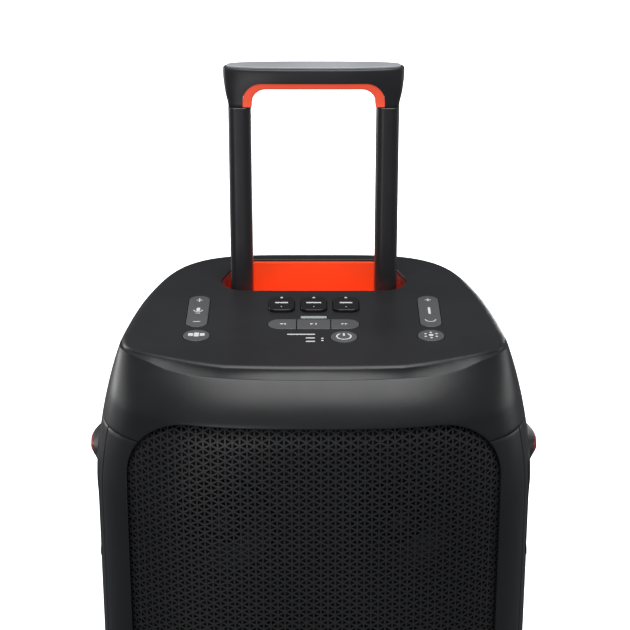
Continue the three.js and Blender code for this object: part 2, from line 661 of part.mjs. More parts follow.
function gripBody(inset) {
  const rings = GRIP_PLANS.length - 1;
  const loft = new THREE.CylinderGeometry(1, 1, 1, 36, rings).rotateX(Math.PI / 2);
  const position = loft.attributes.position;
  for (let i = 0; i < position.count; i += 1) {
    const level = Math.round((position.getZ(i) + 0.5) * rings);
    const [z, half, depth, power] = GRIP_PLANS[level];
    const radius = Math.hypot(position.getX(i), position.getY(i)) || 1;
    const x = (half - inset) * signedPower(position.getX(i) / radius, 2 / power);
    const y = (depth - inset) * signedPower(position.getY(i) / radius, 2 / power);
    position.setXYZ(i, x * Math.round(radius), POST_Y + y * Math.round(radius), z);
  }
  return solid(loft);
}

function lens(halfLength, halfDepth, power, steps = 36) {
  const points = [];
  for (let i = 0; i < steps; i += 1) {
    const angle = (i / steps) * Math.PI * 2;
    points.push(new THREE.Vector2(
      halfLength * signedPower(Math.cos(angle), 2 / power),
      POST_Y + halfDepth * signedPower(Math.sin(angle), 2 / power),
    ));
  }
  return new THREE.Shape(points);
}

// The hand opening in X and Z, open at the foot.
function opening(half, top, radius, foot) {
  const shape = new THREE.Shape();
  shape.moveTo(-half, foot);
  shape.lineTo(half, foot);
  shape.absarc(half - radius, top - radius, radius, 0, Math.PI / 2, false);
  shape.absarc(-half + radius, top - radius, radius, Math.PI / 2, Math.PI, false);
  return shape;
}

const GRIP_SPAN_Y = [POST_Y - 20, POST_Y + 20];
const PLATE_RECESS = 1.6;
const LINER_CORNER = 13.7;
const plateShape = (inset) => lens(GRIP_HALF - 2.2 - inset, GRIP_HALF_DEPTH - 1.6 - inset, 2.8);
const tang = (side, grow, top) => block(
  [side * TANG_X - TANG_HALF - grow, side * TANG_X + TANG_HALF + grow],
  [POST_Y - 6 - grow, POST_Y + 6 + grow],
  [GRIP_FOOT_Z - 4, top],
);

let gripShell = gripBody(0)
  .subtract(facing(opening(LINER_OUTER_X + GAP, GRIP_UNDER_Z, LINER_CORNER + GAP, 800), GRIP_SPAN_Y))
  .subtract(upright(plateShape(0), [HANDLE_TOP - PLATE_RECESS, HANDLE_TOP + 5]));
for (const side of [-1, 1]) gripShell = gripShell.subtract(tang(side, GAP, 834.5));
add('grip_shell', CHARCOAL, gripShell);
add('grip_top_plate', GREY, upright(plateShape(GAP), [HANDLE_TOP - PLATE_RECESS + GAP, HANDLE_TOP + 0.3]));

const gripLiner = gripBody(0.5)
  .intersect(facing(opening(LINER_OUTER_X, GRIP_UNDER_Z - GAP, LINER_CORNER, GRIP_FOOT_Z + 0.4), GRIP_SPAN_Y))
  .subtract(facing(opening(LINER_INNER_X, LINER_UNDER_Z, 10, 800), GRIP_SPAN_Y));
add('grip_liner', ORANGE, gripLiner);

for (const side of [-1, 1]) {
  const place = side < 0 ? 'left' : 'right';
  const post = postAt(side, 0, [POST_END_Z, GRIP_FOOT_Z - GAP]).add(tang(side, 0, 834));
  add(`handle_post_${place}`, CHARCOAL, post);
  const shoe = postAt(side, 0.3, [POST_END_Z - 8, POST_END_Z - GAP]);
  add(`post_shoe_${place}`, GREY, shoe);
}

// ---------- side carry grips ----------
const bayShape = (grow) => roundedRect([GRIP_BAY_Y[0] - grow, GRIP_BAY_Y[1] + grow],
  [GRIP_BAY_Z[0] - grow, GRIP_BAY_Z[1] + grow], GRIP_BAY_CORNER + grow);
// The brow swells out of the side in plan, widest over the middle of the bay.
const outlineOf = (points) => new THREE.Shape(points.map(([u, v]) => new THREE.Vector2(u, v)));
const browPlan = outlineOf([
  [140, -101], [154.4, -98], [157.5, -92], [160.4, -86], [162.2, -80.5], [BROW_X, -75],
  [BROW_X, -66], [161.8, -59], [158.6, -51], [154.4, -44], [140, -40],
]);
const browProfile = outlineOf([
  [150, 575], [155.2, 576], [BROW_X, TRIM_Z[0]], [BROW_X, TRIM_Z[1]],
  [159, 592.5], [155.2, 595], [150, 595.5],
]);
const brow = facing(browProfile, [-130, -30]).intersect(upright(browPlan, [550, 620]));
const trimOutline = (grow) => roundedRect([TRIM_Y[0] - grow, TRIM_Y[1] + grow],
  [TRIM_Z[0] + 0.5 - grow, TRIM_Z[1] - 0.5 + grow], 3 + grow);
const bezel = sideways(sideGripOutline(0), BEZEL_X)
  .add(brow.intersect(sideways(sideGripOutline(0), [120, 180])))
  .subtract(sideways(bayShape(WALL + GAP), [120, 170]))
  .subtract(sideways(trimOutline(GAP), [BROW_X - TRIM_THICK - GAP, 170]));
const sideTrim = brow.intersect(sideways(trimOutline(0), [BROW_X - TRIM_THICK, 170]));
const sideLiner = sideways(bayShape(WALL), [GRIP_BAY_X - WALL, GRIP_LINER_X])
  .subtract(sideways(bayShape(0), [GRIP_BAY_X, 170]));
for (const side of [-1, 1]) {
  const place = side < 0 ? 'left' : 'right';
  add(`side_grip_bezel_${place}`, BLACK, side < 0 ? mirrored(bezel) : bezel);
  add(`side_grip_liner_${place}`, ORANGE, side < 0 ? mirrored(sideLiner) : sideLiner);
  add(`side_grip_trim_${place}`, ORANGE, side < 0 ? mirrored(sideTrim) : sideTrim);
}

// ---------- power parts inside ----------
const BATTERY_X = [-72, 72];
const BATTERY_Y = [-70, 30];
const BATTERY_TOP = 78;
add('battery_pack', GREY, block(BATTERY_X, BATTERY_Y, [BASE_Z + BASE_FLOOR + GAP, BATTERY_TOP]));
const sink = block([-70, 70], [62, 72], [280, 430]);
const boardPlate = block([-80, 80], [58.3, 62.2], [270, 440]);
add('amplifier', STEEL, boardPlate.add(sink));

export default speaker;
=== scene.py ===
"""Looks of the party speaker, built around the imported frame.

The sizes of pieces are in mm and become metres when a mesh is made. Bump depths, lamps and the camera
are in metres.
"""
import json
import math

import bmesh
import bpy
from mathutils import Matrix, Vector

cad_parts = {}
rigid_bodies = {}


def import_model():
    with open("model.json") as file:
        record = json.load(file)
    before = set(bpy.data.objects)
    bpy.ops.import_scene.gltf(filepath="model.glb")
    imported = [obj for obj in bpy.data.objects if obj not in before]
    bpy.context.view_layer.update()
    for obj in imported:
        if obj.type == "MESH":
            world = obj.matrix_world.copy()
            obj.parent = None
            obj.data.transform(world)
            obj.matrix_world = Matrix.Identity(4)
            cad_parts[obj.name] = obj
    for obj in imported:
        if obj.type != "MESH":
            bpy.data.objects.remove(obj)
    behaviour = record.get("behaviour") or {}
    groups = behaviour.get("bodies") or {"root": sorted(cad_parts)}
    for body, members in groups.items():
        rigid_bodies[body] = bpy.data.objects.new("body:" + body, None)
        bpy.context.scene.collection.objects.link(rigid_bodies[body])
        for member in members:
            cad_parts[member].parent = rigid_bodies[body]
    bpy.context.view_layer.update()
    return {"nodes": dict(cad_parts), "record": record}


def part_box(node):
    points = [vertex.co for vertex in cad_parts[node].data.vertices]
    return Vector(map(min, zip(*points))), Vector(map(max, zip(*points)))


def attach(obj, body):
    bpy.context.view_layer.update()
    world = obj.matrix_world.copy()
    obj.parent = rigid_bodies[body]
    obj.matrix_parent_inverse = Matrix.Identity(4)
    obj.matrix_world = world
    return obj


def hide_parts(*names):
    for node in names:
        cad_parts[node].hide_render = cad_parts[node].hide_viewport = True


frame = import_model()
scene = bpy.context.scene

MM = 0.001
SIDES = ((-1, "left"), (1, "right"))
# A lathe profile that ends here closes in a face too small to see.
ON_AXIS = 0.0001

# ---------- dimensions shared with the CAD ----------
GAP = 0.3
WALL = 3.0
HALF_WIDTH = 154.6
FRONT_Y = -183.5
REAR_Y = 130.0
WIDEST_Y = -82.0
TOP_WIDEST_Y = -116.0
BASE_Z = 10.0
BASE_SEAM_Z = 46.0
SHOULDER_Z = 575.0
HOUSING_SEAM_Z = 625.0
BROW_Z = 643.5
CREASE_Z = 671.0
TOP_Z = 687.0
RIM_Y = 41.0
TOP_TILT = math.radians(2.5)
TOP_EDGE_Z = 679.0
TOP_MIDDLE_Y = -60.0
FRAME_SEAM_Y = -138.0
GRILLE_HALF = 127.0
GRILLE_BOTTOM = 66.0
GRILLE_TOP = 642.0
GRILLE_CORNER = 44.0
POST_X = 52.9
POST_Y = -10.0
POST_W = 16.4
POST_D = 19.0
HANDLE_TOP = 848.0
GRIP_HALF = 64.6
GRIP_FOOT_HALF = 61.0
GRIP_HALF_DEPTH = 12.0
GRIP_FOOT_Z = 819.0
GRIP_UNDER_Z = 836.8
LINER_UNDER_Z = 832.2
LINER_INNER_X = 43.9
LINER_OUTER_X = 50.4
POCKET_FRONT = -26.0
POCKET_REAR = 28.0
POCKET_FRONT_HALF = 71.7
POCKET_REAR_HALF = 54.0
POCKET_CORNER = 16.0
POCKET_FLOOR = 650.0
LINER_WALL = 2.4


# ---------- small helpers ----------
def clamp01(value):
    return min(1.0, max(0.0, value))


def lerp(a, b, t):
    return a + (b - a) * t


def ease(low, high, value):
    t = clamp01((value - low) / (high - low))
    return t * t * (3.0 - 2.0 * t)


def chart(value, *knots):
    """Straight lines through (place, height) knots."""
    if value <= knots[0][0]:
        return knots[0][1]
    for (a, low), (b, high) in zip(knots, knots[1:]):
        if value <= b:
            return lerp(low, high, (value - a) / (b - a))
    return knots[-1][1]


def signed_power(value, power):
    return math.copysign(abs(value) ** power, value)


def shade(obj, angle):
    obj.data.shade_smooth()
    obj.data.set_sharp_from_angle(angle=math.radians(angle))


def make(name, verts, faces, look, angle=34.0):
    """A mesh piece from points in millimetres, with its faces turned outwards."""
    mesh = bpy.data.meshes.new(name)
    mesh.from_pydata([(x * MM, y * MM, z * MM) for x, y, z in verts], [], faces)
    work = bmesh.new()
    work.from_mesh(mesh)
    bmesh.ops.recalc_face_normals(work, faces=work.faces)
    if all(edge.is_manifold for edge in work.edges) and work.calc_volume(signed=True) < 0:
        bmesh.ops.reverse_faces(work, faces=work.faces)
    work.to_mesh(mesh)
    work.free()
    obj = bpy.data.objects.new(name, mesh)
    scene.collection.objects.link(obj)
    shade(obj, angle)
    mesh.materials.append(look)
    return obj


def grid_faces(rows, columns, closed, start=0):
    faces = []
    for row in range(rows - 1):
        for column in range(columns if closed else columns - 1):
            after = (column + 1) % columns
            a = start + row * columns
            b = a + columns
            faces.append((a + column, a + after, b + after, b + column))
    return faces


def loft(name, rings, look, angle=34.0):
    """Closed rings of equal length, one above the other, with an n-gon over each end."""
    columns = len(rings[0])
    verts = [point for ring in rings for point in ring]
    faces = grid_faces(len(rings), columns, True)
    faces.append(tuple(range(columns)))
    faces.append(tuple(range(len(verts) - columns, len(verts))))
    return make(name, verts, faces, look, angle)


def torus_loft(name, rings, look, angle):
    """Closed rings that run round and meet themselves."""
    columns = len(rings[0])
    verts = [point for ring in rings for point in ring]
    faces = grid_faces(len(rings), columns, True)
    last = (len(rings) - 1) * columns
    faces += [(last + i, last + (i + 1) % columns, (i + 1) % columns, i) for i in range(columns)]
    return make(name, verts, faces, look, angle)


def lathe(name, profile, place, look, segments, closed=False):
    """Turns (radius, along) pairs about an axis. place maps (across, up, along) to a point."""
    rings = []
    for radius, along in profile:
        rings.append([place(radius * math.cos(2 * math.pi * i / segments),
                            radius * math.sin(2 * math.pi * i / segments), along) for i in range(segments)])
    return torus_loft(name, rings, look, 30.0) if closed else loft(name, rings, look, 30.0)


def plain(x, y, z):
    return x, y, z


def upright(x, z, y):
    """For an outline drawn in X and Z that is stretched along Y."""
    return x, y, z


def along_y(x, z):
    return lambda across, up, along: (x + across, along, z + up)


def along_x(y, z, side=1.0):
    return lambda across, up, along: (side * along, y + across, z + up)


def along_z(x, y):
    return lambda across, up, along: (x + across, y + up, along)


def cut(obj, cutter, operation="DIFFERENCE"):
    """Applies a boolean to the piece and throws the cutter away."""
    modifier = obj.modifiers.new("cut", "BOOLEAN")
    modifier.operation = operation
    modifier.solver = "EXACT"
    modifier.object = cutter
    bpy.context.view_layer.update()
    graph = bpy.context.evaluated_depsgraph_get()
    result = bpy.data.meshes.new_from_object(obj.evaluated_get(graph))
    obj.modifiers.clear()
    obj.data = result
    used = cutter.data
    bpy.data.objects.remove(cutter)
    bpy.data.meshes.remove(used)


def mirrored(name, obj):
    """The same piece on the other side of the cabinet."""
    mesh = obj.data.copy()
    for vert in mesh.vertices:
        vert.co.x = -vert.co.x
    mesh.flip_normals()
    other = bpy.data.objects.new(name, mesh)
    scene.collection.objects.link(other)
    return other


def blacken(obj, middle, mouth):
    """Paints black the faces of a tub that lie inside the cabinet, those turned away from its mouth: painted
    shade, where no light reaches and the orange would otherwise glow.
    """
    obj.data.materials.append(BLACK)
    for face in obj.data.polygons:
        facing = face.normal.dot(Vector(mouth))
        across = face.center - Vector(middle)
        across -= across.dot(Vector(mouth)) * Vector(mouth)
        if facing < -0.5 or facing < 0.5 and face.normal.dot(across) > 0.0:
            face.material_index = 1


def join(name, pieces):
    """One object from several pieces that don't touch."""
    first = pieces[0]
    work = bmesh.new()
    for piece in pieces:
        work.from_mesh(piece.data)
    result = bpy.data.meshes.new(name)
    work.to_mesh(result)
    work.free()
    for material in first.data.materials:
        result.materials.append(material)
    for piece in pieces:
        mesh = piece.data
        bpy.data.objects.remove(piece)
        bpy.data.meshes.remove(mesh)
    obj = bpy.data.objects.new(name, result)
    scene.collection.objects.link(obj)
    return obj


def stand_for(piece, body, slot, *nodes):
    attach(piece, body)
    if nodes:
        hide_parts(*nodes)
    return piece


# ---------- outlines ----------
def rounded_polygon(corners, steps=10):
    """Points round a polygon whose corners are (u, v, radius), anticlockwise."""
    points = []
    for i, (u, v, radius) in enumerate(corners):
        corner = Vector((u, v))
        before = (Vector(corners[i - 1][:2]) - corner).normalized()
        after = (Vector(corners[(i + 1) % len(corners)][:2]) - corner).normalized()
        half = before.angle(after) / 2
        middle = corner + (before + after).normalized() * (radius / math.sin(half))
        first = corner + before * (radius / math.tan(half)) - middle
        start = math.atan2(first.y, first.x)
        for step in range(steps + 1):
            angle = start + (math.pi - 2 * half) * step / steps
            points.append((middle.x + radius * math.cos(angle), middle.y + radius * math.sin(angle)))
    return points


def rounded_rect(u, v, radius, steps=10):
    return rounded_polygon(
        [(u[1], v[0], radius), (u[1], v[1], radius), (u[0], v[1], radius), (u[0], v[0], radius)], steps)


def centred_rect(u, v, half_u, half_v, radius, steps=10):
    return rounded_rect((u - half_u, u + half_u), (v - half_v, v + half_v), radius, steps)


def circle(u, v, radius, steps):
    return [(u + radius * math.cos(2 * math.pi * i / steps), v + radius * math.sin(2 * math.pi * i / steps))
            for i in range(steps)]


def superellipse(u, v, half_u, half_v, power, steps):
    points = []
    for i in range(steps):
        angle = 2 * math.pi * i / steps
        points.append((u + half_u * signed_power(math.cos(angle), 2 / power),
                       v + half_v * signed_power(math.sin(angle), 2 / power)))
    return points


def resample(points, spacing):
    """The closed outline with extra points, none further apart than spacing."""
    result = []
    for i, (u, v) in enumerate(points):
        next_u, next_v = points[(i + 1) % len(points)]
        count = max(1, math.ceil(math.hypot(next_u - u, next_v - v) / spacing))
        result += [(lerp(u, next_u, k / count), lerp(v, next_v, k / count)) for k in range(count)]
    return result


def grown(points, distance):
    """The anticlockwise outline moved outwards along its own normals."""
    result = []
    for i, (u, v) in enumerate(points):
        back = Vector((u, v)) - Vector(points[i - 1])
        ahead = Vector(points[(i + 1) % len(points)]) - Vector((u, v))
        run = back.normalized() + ahead.normalized()
        run.normalize()
        spread = max(0.5, run.dot(ahead.normalized()))
        result.append((u + run.y * distance / spread, v - run.x * distance / spread))
    return result


def arc_steps(count):
    return [math.pi / 2 * i / count for i in range(count + 1)]


def pad(name, outline, place, bottom, top, edge, look, crown=0.0):
    """A block with the given outline, a rounded top edge and a top that may be slightly crowned."""
    rings = [[place(u, v, bottom) for u, v in outline]]
    for turn in arc_steps(5):
        ring = grown(outline, -edge * (1 - math.cos(turn)))
        rings.append([place(u, v, top - edge + edge * math.sin(turn)) for u, v in ring])
    inner = grown(outline, -edge)
    middle_u = sum(u for u, _ in inner) / len(inner)
    middle_v = sum(v for _, v in inner) / len(inner)
    for shrink in (0.8, 0.5, 0.2):
        height = top + crown * (1 - shrink ** 2)
        rings.append([place(lerp(middle_u, u, shrink), lerp(middle_v, v, shrink), height) for u, v in inner])
    return loft(name, rings, look, 40.0)


def prism(outline, place, low, high, name="cutter"):
    return loft(name, [[place(u, v, low) for u, v in outline], [place(u, v, high) for u, v in outline]], None)


def flared(outline, place, radius, front, back):
    """A cutter whose hole meets the surface at depth 0 in a rounded edge."""
    rings = [[place(u, v, -front) for u, v in grown(outline, radius + 0.4)],
             [place(u, v, -0.15) for u, v in grown(outline, radius + 0.4)]]
    for turn in arc_steps(4):
        depth = radius * (1 - math.cos(turn))
        rings.append([place(u, v, depth) for u, v in grown(outline, radius * (1 - math.sin(turn)))])
    rings.append([place(u, v, back) for u, v in outline])
    return loft("cutter", rings, None)


# ---------- materials ----------
def new_material(name):
    material = bpy.data.materials.new(name)
    material.use_nodes = True
    nodes = material.node_tree.nodes
    shader = nodes["Principled BSDF"]
    return material, nodes, material.node_tree.links, shader


def add_node(nodes, kind, values):
    """A shader node with some of its inputs set, by name."""
    node = nodes.new(kind)
    for name, value in values.items():
        node.inputs[name].default_value = value
    return node


def noise(nodes, links, where, scale, detail, rough=0.5):
    node = add_node(nodes, "ShaderNodeTexNoise", {"Scale": scale, "Detail": detail, "Roughness": rough})
    links.new(where, node.inputs["Vector"])
    return node.outputs["Fac"]


def spread(nodes, links, value, low, high, start=0.3, end=0.7):
    node = add_node(nodes, "ShaderNodeMapRange",
                    {"From Min": start, "From Max": end, "To Min": low, "To Max": high})
    links.new(value, node.inputs["Value"])
    return node.outputs["Result"]


def blend_colours(nodes, links, value, low, high):
    ramp = nodes.new("ShaderNodeValToRGB")
    for element, colour, position in zip(ramp.color_ramp.elements, (low, high), (0.3, 0.7)):
        element.color = (*colour, 1.0)
        element.position = position
    links.new(value, ramp.inputs["Fac"])
    return ramp.outputs["Color"]


def bump(nodes, links, shader, height, distance):
    node = add_node(nodes, "ShaderNodeBump", {"Strength": 1.0, "Distance": distance})
    links.new(height, node.inputs["Height"])
    links.new(node.outputs["Normal"], shader.inputs["Normal"])


def moulded(name, colour, roughness, grain=2600.0, relief=0.00002, tint=0.12, coat=0.0, metallic=0.0):
    """Moulded or coated surface: fine grain in the bump, slow patches in colour and gloss."""
    material, nodes, links, shader = new_material(name)
    where = nodes.new("ShaderNodeTexCoord").outputs["Object"]
    patches = noise(nodes, links, where, 14.0, 3.0)
    low = tuple(c * (1 - tint) for c in colour)
    high = tuple(c * (1 + tint) for c in colour)
    links.new(blend_colours(nodes, links, patches, low, high), shader.inputs["Base Color"])
    smears = noise(nodes, links, where, 42.0, 4.0, 0.6)
    links.new(spread(nodes, links, smears, roughness - 0.035, roughness + 0.035), shader.inputs["Roughness"])
    bump(nodes, links, shader, noise(nodes, links, where, grain, 1.5), relief)
    shader.inputs["Metallic"].default_value = metallic
    if coat:
        shader.inputs["Coat Weight"].default_value = coat
        shader.inputs["Coat Roughness"].default_value = 0.18
    return material


def bright_orange(name, colour, painted_glow, painted_shade_colour=None, start=0.0, end=0.0):
    """Orange plastic that glows a little, though it is no lamp: painted light, for a stronger orange.
    Orange plastic with some light of its own, for a colour as strong as the photo's.

    With a painted shade colour it darkens from start to end, two distances from the middle plane: painted
    shade, as at the ends of the pocket beside the posts.
    """
    material = moulded(name, colour, 0.42, relief=0.000015, tint=0.05)
    nodes, links = material.node_tree.nodes, material.node_tree.links
    shader = nodes["Principled BSDF"]
    shade_out = shader.inputs["Base Color"].links[0].from_socket
    shader.inputs["Emission Strength"].default_value = painted_glow
    if painted_shade_colour:
        split = nodes.new("ShaderNodeSeparateXYZ")
        links.new(nodes["Texture Coordinate"].outputs["Object"], split.inputs["Vector"])
        size = nodes.new("ShaderNodeMath")
        size.operation = "ABSOLUTE"
        links.new(split.outputs["X"], size.inputs[0])
        mix = nodes.new("ShaderNodeMix")
        mix.data_type = "RGBA"
        links.new(spread(nodes, links, size.outputs[0], 0.0, 1.0, start, end), mix.inputs["Factor"])
        links.new(shade_out, mix.inputs[6])
        mix.inputs[7].default_value = (*painted_shade_colour, 1.0)
        shade_out = mix.outputs[2]
        links.new(shade_out, shader.inputs["Base Color"])
    links.new(shade_out, shader.inputs["Emission Color"])
    return material


HOUSING = moulded("housing_plastic", (0.023, 0.0235, 0.025), 0.35)
BLACK = moulded("black_plastic", (0.012, 0.012, 0.013), 0.5)
KEY = moulded("key_plastic", (0.011, 0.011, 0.012), 0.38, relief=0.00001)
BUTTON = moulded("button_plastic", (0.105, 0.107, 0.113), 0.4, relief=0.00001)
# The glossy plate's light grey is partly its own colour and partly painted reflection of the backdrop.
PLATE = moulded("plate_gloss", (0.48, 0.5, 0.53), 0.24, relief=0.000006, coat=0.4)
PRINT = moulded("print_ink", (0.78, 0.79, 0.8), 0.5, relief=0.000006, tint=0.03)
# ORANGE, TUB and POCKET glow by their given strength: painted light.
ORANGE = bright_orange("orange_plastic", (1.0, 0.105, 0.05), 0.45)
# The grip trim is orange plastic coloured dark red for the shade on its face: painted shade.
TRIM = moulded("trim_painted_shade", (0.42, 0.022, 0.008), 0.4, relief=0.000015, tint=0.05)
TUB = bright_orange("grip_tub_plastic", (1.0, 0.085, 0.025), 0.06)
# The pocket darkens towards its ends beyond the posts: painted shade.
POCKET = bright_orange("pocket_plastic", (1.0, 0.075, 0.012), 0.28, (0.1, 0.003, 0.002), 0.044, 0.058)
GRILLE = moulded("grille_coat", (0.032, 0.032, 0.0345), 0.36, grain=3400.0, relief=0.00002)
STEEL = moulded("steel_plate", (0.42, 0.43, 0.44), 0.3, grain=3000.0, relief=0.000006, tint=0.05,
                metallic=1.0)
SINK = moulded("heat_sink_alloy", (0.3, 0.3, 0.31), 0.45, grain=1800.0, relief=0.00003, tint=0.08,
               metallic=1.0)
BOARD = moulded("circuit_board", (0.012, 0.075, 0.03), 0.4, grain=900.0, relief=0.00002, tint=0.2)
BATTERY = moulded("battery_wrap", (0.03, 0.034, 0.045), 0.35, grain=700.0, relief=0.00002, tint=0.15)
DRIVER = moulded("driver_frame", (0.012, 0.012, 0.013), 0.45)
CONE = moulded("cone_paper", (0.011, 0.011, 0.012), 0.8, grain=1400.0, relief=0.00008, tint=0.25)
RING = moulded("ring_lens", (0.022, 0.023, 0.025), 0.35, relief=0.000004, tint=0.04)
WINDOW = moulded("window_lens", (0.42, 0.46, 0.47), 0.3, relief=0.000004, tint=0.04)
POST = moulded("post_coat", (0.034, 0.034, 0.037), 0.34, grain=3400.0)
RUBBER = moulded("rubber", (0.014, 0.014, 0.015), 0.72, grain=1500.0, relief=0.00005)
TYRE = moulded("tyre_rubber", (0.015, 0.015, 0.016), 0.68, grain=1200.0, relief=0.00006)


# ---------- cabinet outline ----------
def front_y(z):
    if z > CREASE_Z:
        return -164.0 + 0.95 * (z - CREASE_Z)
    lean = clamp01((z - BROW_Z) / (CREASE_Z - BROW_Z))
    belly = clamp01((z - 500.0) / (BROW_Z - 500.0))
    return FRONT_Y + belly ** 2 + 18.5 * lean ** 1.6


def rear_y(z):
    rise = clamp01((z - 250.0) / (TOP_Z - 250.0))
    return REAR_Y - (REAR_Y - RIM_Y) * rise ** 2.2


class Outline:
    """The cabinet's outline at one height, moved inwards by inset."""

    def __init__(self, z, inset=0.0):
        lean = max(0.0, (z - SHOULDER_Z) / (680.0 - SHOULDER_Z))
        tuck = 5.0 * clamp01((BASE_SEAM_Z - z) / (BASE_SEAM_Z - BASE_Z)) ** 2
        crown = clamp01((z - 560.0) / 120.0) ** 2
        self.half = HALF_WIDTH - 21.4 * lean ** 1.7 - tuck - inset
        self.widest = lerp(WIDEST_Y, TOP_WIDEST_Y, crown)
        self.front = front_y(z) + tuck + inset
        self.rear = rear_y(z) - tuck - inset
        self.front_power = lerp(3.3, 2.25, crown)
        self.rear_power = lerp(3.6, 4.6, crown)
        self.taper = lerp(0.12, 0.175, crown)

    def point(self, angle):
        behind = math.sin(angle) > 0
        power = 2 / (self.rear_power if behind else self.front_power)
        along = signed_power(math.sin(angle), power)
        reach = self.rear - self.widest if behind else self.widest - self.front
        narrowing = 1 - self.taper * along ** 1.3 if behind else 1.0
        return self.half * narrowing * signed_power(math.cos(angle), power), self.widest + reach * along

    def front_angle(self, y):
        """The angle, on the right, of the point ahead of the widest place with the given y."""
        share = clamp01((self.widest - y) / (self.widest - self.front))
        return -math.asin(share ** (self.front_power / 2))

    def face_y(self, x):
        """The front surface straight ahead of the widest place."""
        share = clamp01(abs(x) / self.half)
        bulge = (1 - share ** self.front_power) ** (1 / self.front_power)
        return self.widest - (self.widest - self.front) * bulge


def even_angles(outline, start, end, count):
    """Angles whose points are evenly spread along the outline."""
    dense = [lerp(start, end, i / 2000) for i in range(2001)]
    places = [outline.point(angle) for angle in dense]
    run = [0.0]
    for (x0, y0), (x1, y1) in zip(places, places[1:]):
        run.append(run[-1] + math.hypot(x1 - x0, y1 - y0))
    result = []
    index = 0
    for i in range(count + 1):
        target = run[-1] * i / count
        while index < len(run) - 2 and run[index + 1] < target:
            index += 1
        gap = run[index + 1] - run[index]
        result.append(lerp(dense[index], dense[index + 1], (target - run[index]) / gap if gap else 0.0))
    return result


def top_plane(y):
    return TOP_Z - math.tan(TOP_TILT) * (RIM_Y - y)


def top_place(x, y, height):
    """A point over the tilted top face, at its x and y in plan and its height above the face."""
    return x, y - height * math.sin(TOP_TILT), top_plane(y) + height * math.cos(TOP_TILT)


def mirrored_ring(right):
    """A whole ring from its right half, which runs from the front to the rear on the middle plane."""
    return right + [(-x, y, z) for x, y, z in reversed(right[1:-1])]


# ---------- top housing ----------
TOP_COLUMNS = 150
top_angles = even_angles(Outline(668.0), -math.pi / 2, math.pi / 2, TOP_COLUMNS)
ROLL_STEPS = 6
COVE_STEPS = (0.03, 0.09, 0.18, 0.32, 0.5, 0.7, 0.87)


def brow_shape(angle):
    """Cove height, cove depth, edge inset, and the width and drop of the rolled edge for a column."""
    x, y = Outline(TOP_EDGE_Z).point(angle)
    x = abs(x)
    ahead = 1 - ease(-122.0, -100.0, y)
    height = chart(x, (75, 7.4), (97, 5.8), (113, 3.0), (126, 2.0)) * ahead
    depth = chart(x, (60, 8.0), (97, 6.0), (113, 3.0), (126, 1.6)) * ahead
    inset = chart(x, (0, 0.0), (32, -0.5), (59, -1.7), (75, 0.0), (95, 2.6), (107, 3.2), (131, 2.5)) * ahead
    side = ease(-140.0, -84.0, y) - ease(-24.0, 26.0, y)
    return height, depth, inset, lerp(1.6, 7.0, side), lerp(1.6, 5.0, side)


def top_column(angle):
    """Points of one column of the top housing's outside, from the seam up to the flat of the top face."""
    height, depth, inset, width, drop = brow_shape(angle)
    _, y = Outline(TOP_EDGE_Z, inset).point(angle)
    edge = top_plane(y)
    foot = edge - max(height, drop)
    column = []

    def put(z, shift):
        px, py = Outline(z, shift).point(angle)
        column.append((px, py, z))

    for z, shift in ((HOUSING_SEAM_Z + GAP, 0.7), (HOUSING_SEAM_Z + GAP + 0.15, 0.35),
                     (HOUSING_SEAM_Z + GAP + 0.4, 0.12), (HOUSING_SEAM_Z + GAP + 0.9, 0.0)):
        put(z, shift)
    start = HOUSING_SEAM_Z + 2.5
    for i in range(26):
        put(lerp(start, foot - 0.9, i / 25), 0.0)
    band = max(height, drop) - drop
    bend = max(0.04, min(1.0, band, depth / 8.0))
    for drop_back, turned_in in ((0.5, 0.05), (0.25, 0.14), (0.08, 0.32), (0.0, 0.6)):
        put(foot - drop_back * bend, turned_in * bend)
    for u in COVE_STEPS:
        hollow = depth * (0.075 * (1 - u ** 4) + 0.05 * (u - u ** 3))
        put(lerp(foot, edge - drop, u) if band > 0.05 else foot + 0.001 * u, u * inset + hollow)
    for turn in arc_steps(ROLL_STEPS):
        put(edge - drop * (1 - math.sin(turn)), inset + width * (1 - math.cos(turn)))
    # The last point lies on the tilted plane itself.
    x, y, _ = column[-1]
    column[-1] = (x, y, top_plane(y))
    return column


def drawn_in(ring, share, depth):
    """The ring shrunk towards the middle of the top face, at a depth under the face."""
    points = [(x * share, lerp(TOP_MIDDLE_Y, y, share)) for x, y, _ in ring]
    return [(x, y, top_plane(y) - depth) for x, y in points]


right_columns = [top_column(angle) for angle in top_angles]
rings = [mirrored_ring([column[row] for column in right_columns]) for row in range(len(right_columns[0]))]
rim = rings[-1]
for share in (0.9, 0.7, 0.45, 0.2):
    rings.append(drawn_in(rim, share, 0.0))
inner_rings = []
for z in (HOUSING_SEAM_Z + GAP, 640.0, 655.0, 668.0, 674.0):
    outline = Outline(z, WALL)
    inner_rings.append(mirrored_ring([(*outline.point(angle), z) for angle in top_angles]))
flat = inner_rings[-1]
for share in (0.97, 0.6, 0.2):
    inner_rings.append(drawn_in(flat, share, WALL))
# From the middle of the outside, down to the seam, and up the inside to its middle.
top_housing = loft("top_housing_skin", list(reversed(rings)) + inner_rings, HOUSING)


def pocket_outline(grow):
    slant = (POCKET_FRONT_HALF - POCKET_REAR_HALF) / (POCKET_REAR - POCKET_FRONT)
    shift = grow * math.hypot(1, slant)
    front_x = POCKET_FRONT_HALF + shift + grow * slant
    rear_x = POCKET_REAR_HALF + shift - grow * slant
    radius = POCKET_CORNER + grow
    return rounded_polygon([
        (front_x, POCKET_FRONT - grow, radius), (rear_x, POCKET_REAR + grow, radius),
        (-rear_x, POCKET_REAR + grow, radius), (-front_x, POCKET_FRONT - grow, radius)])


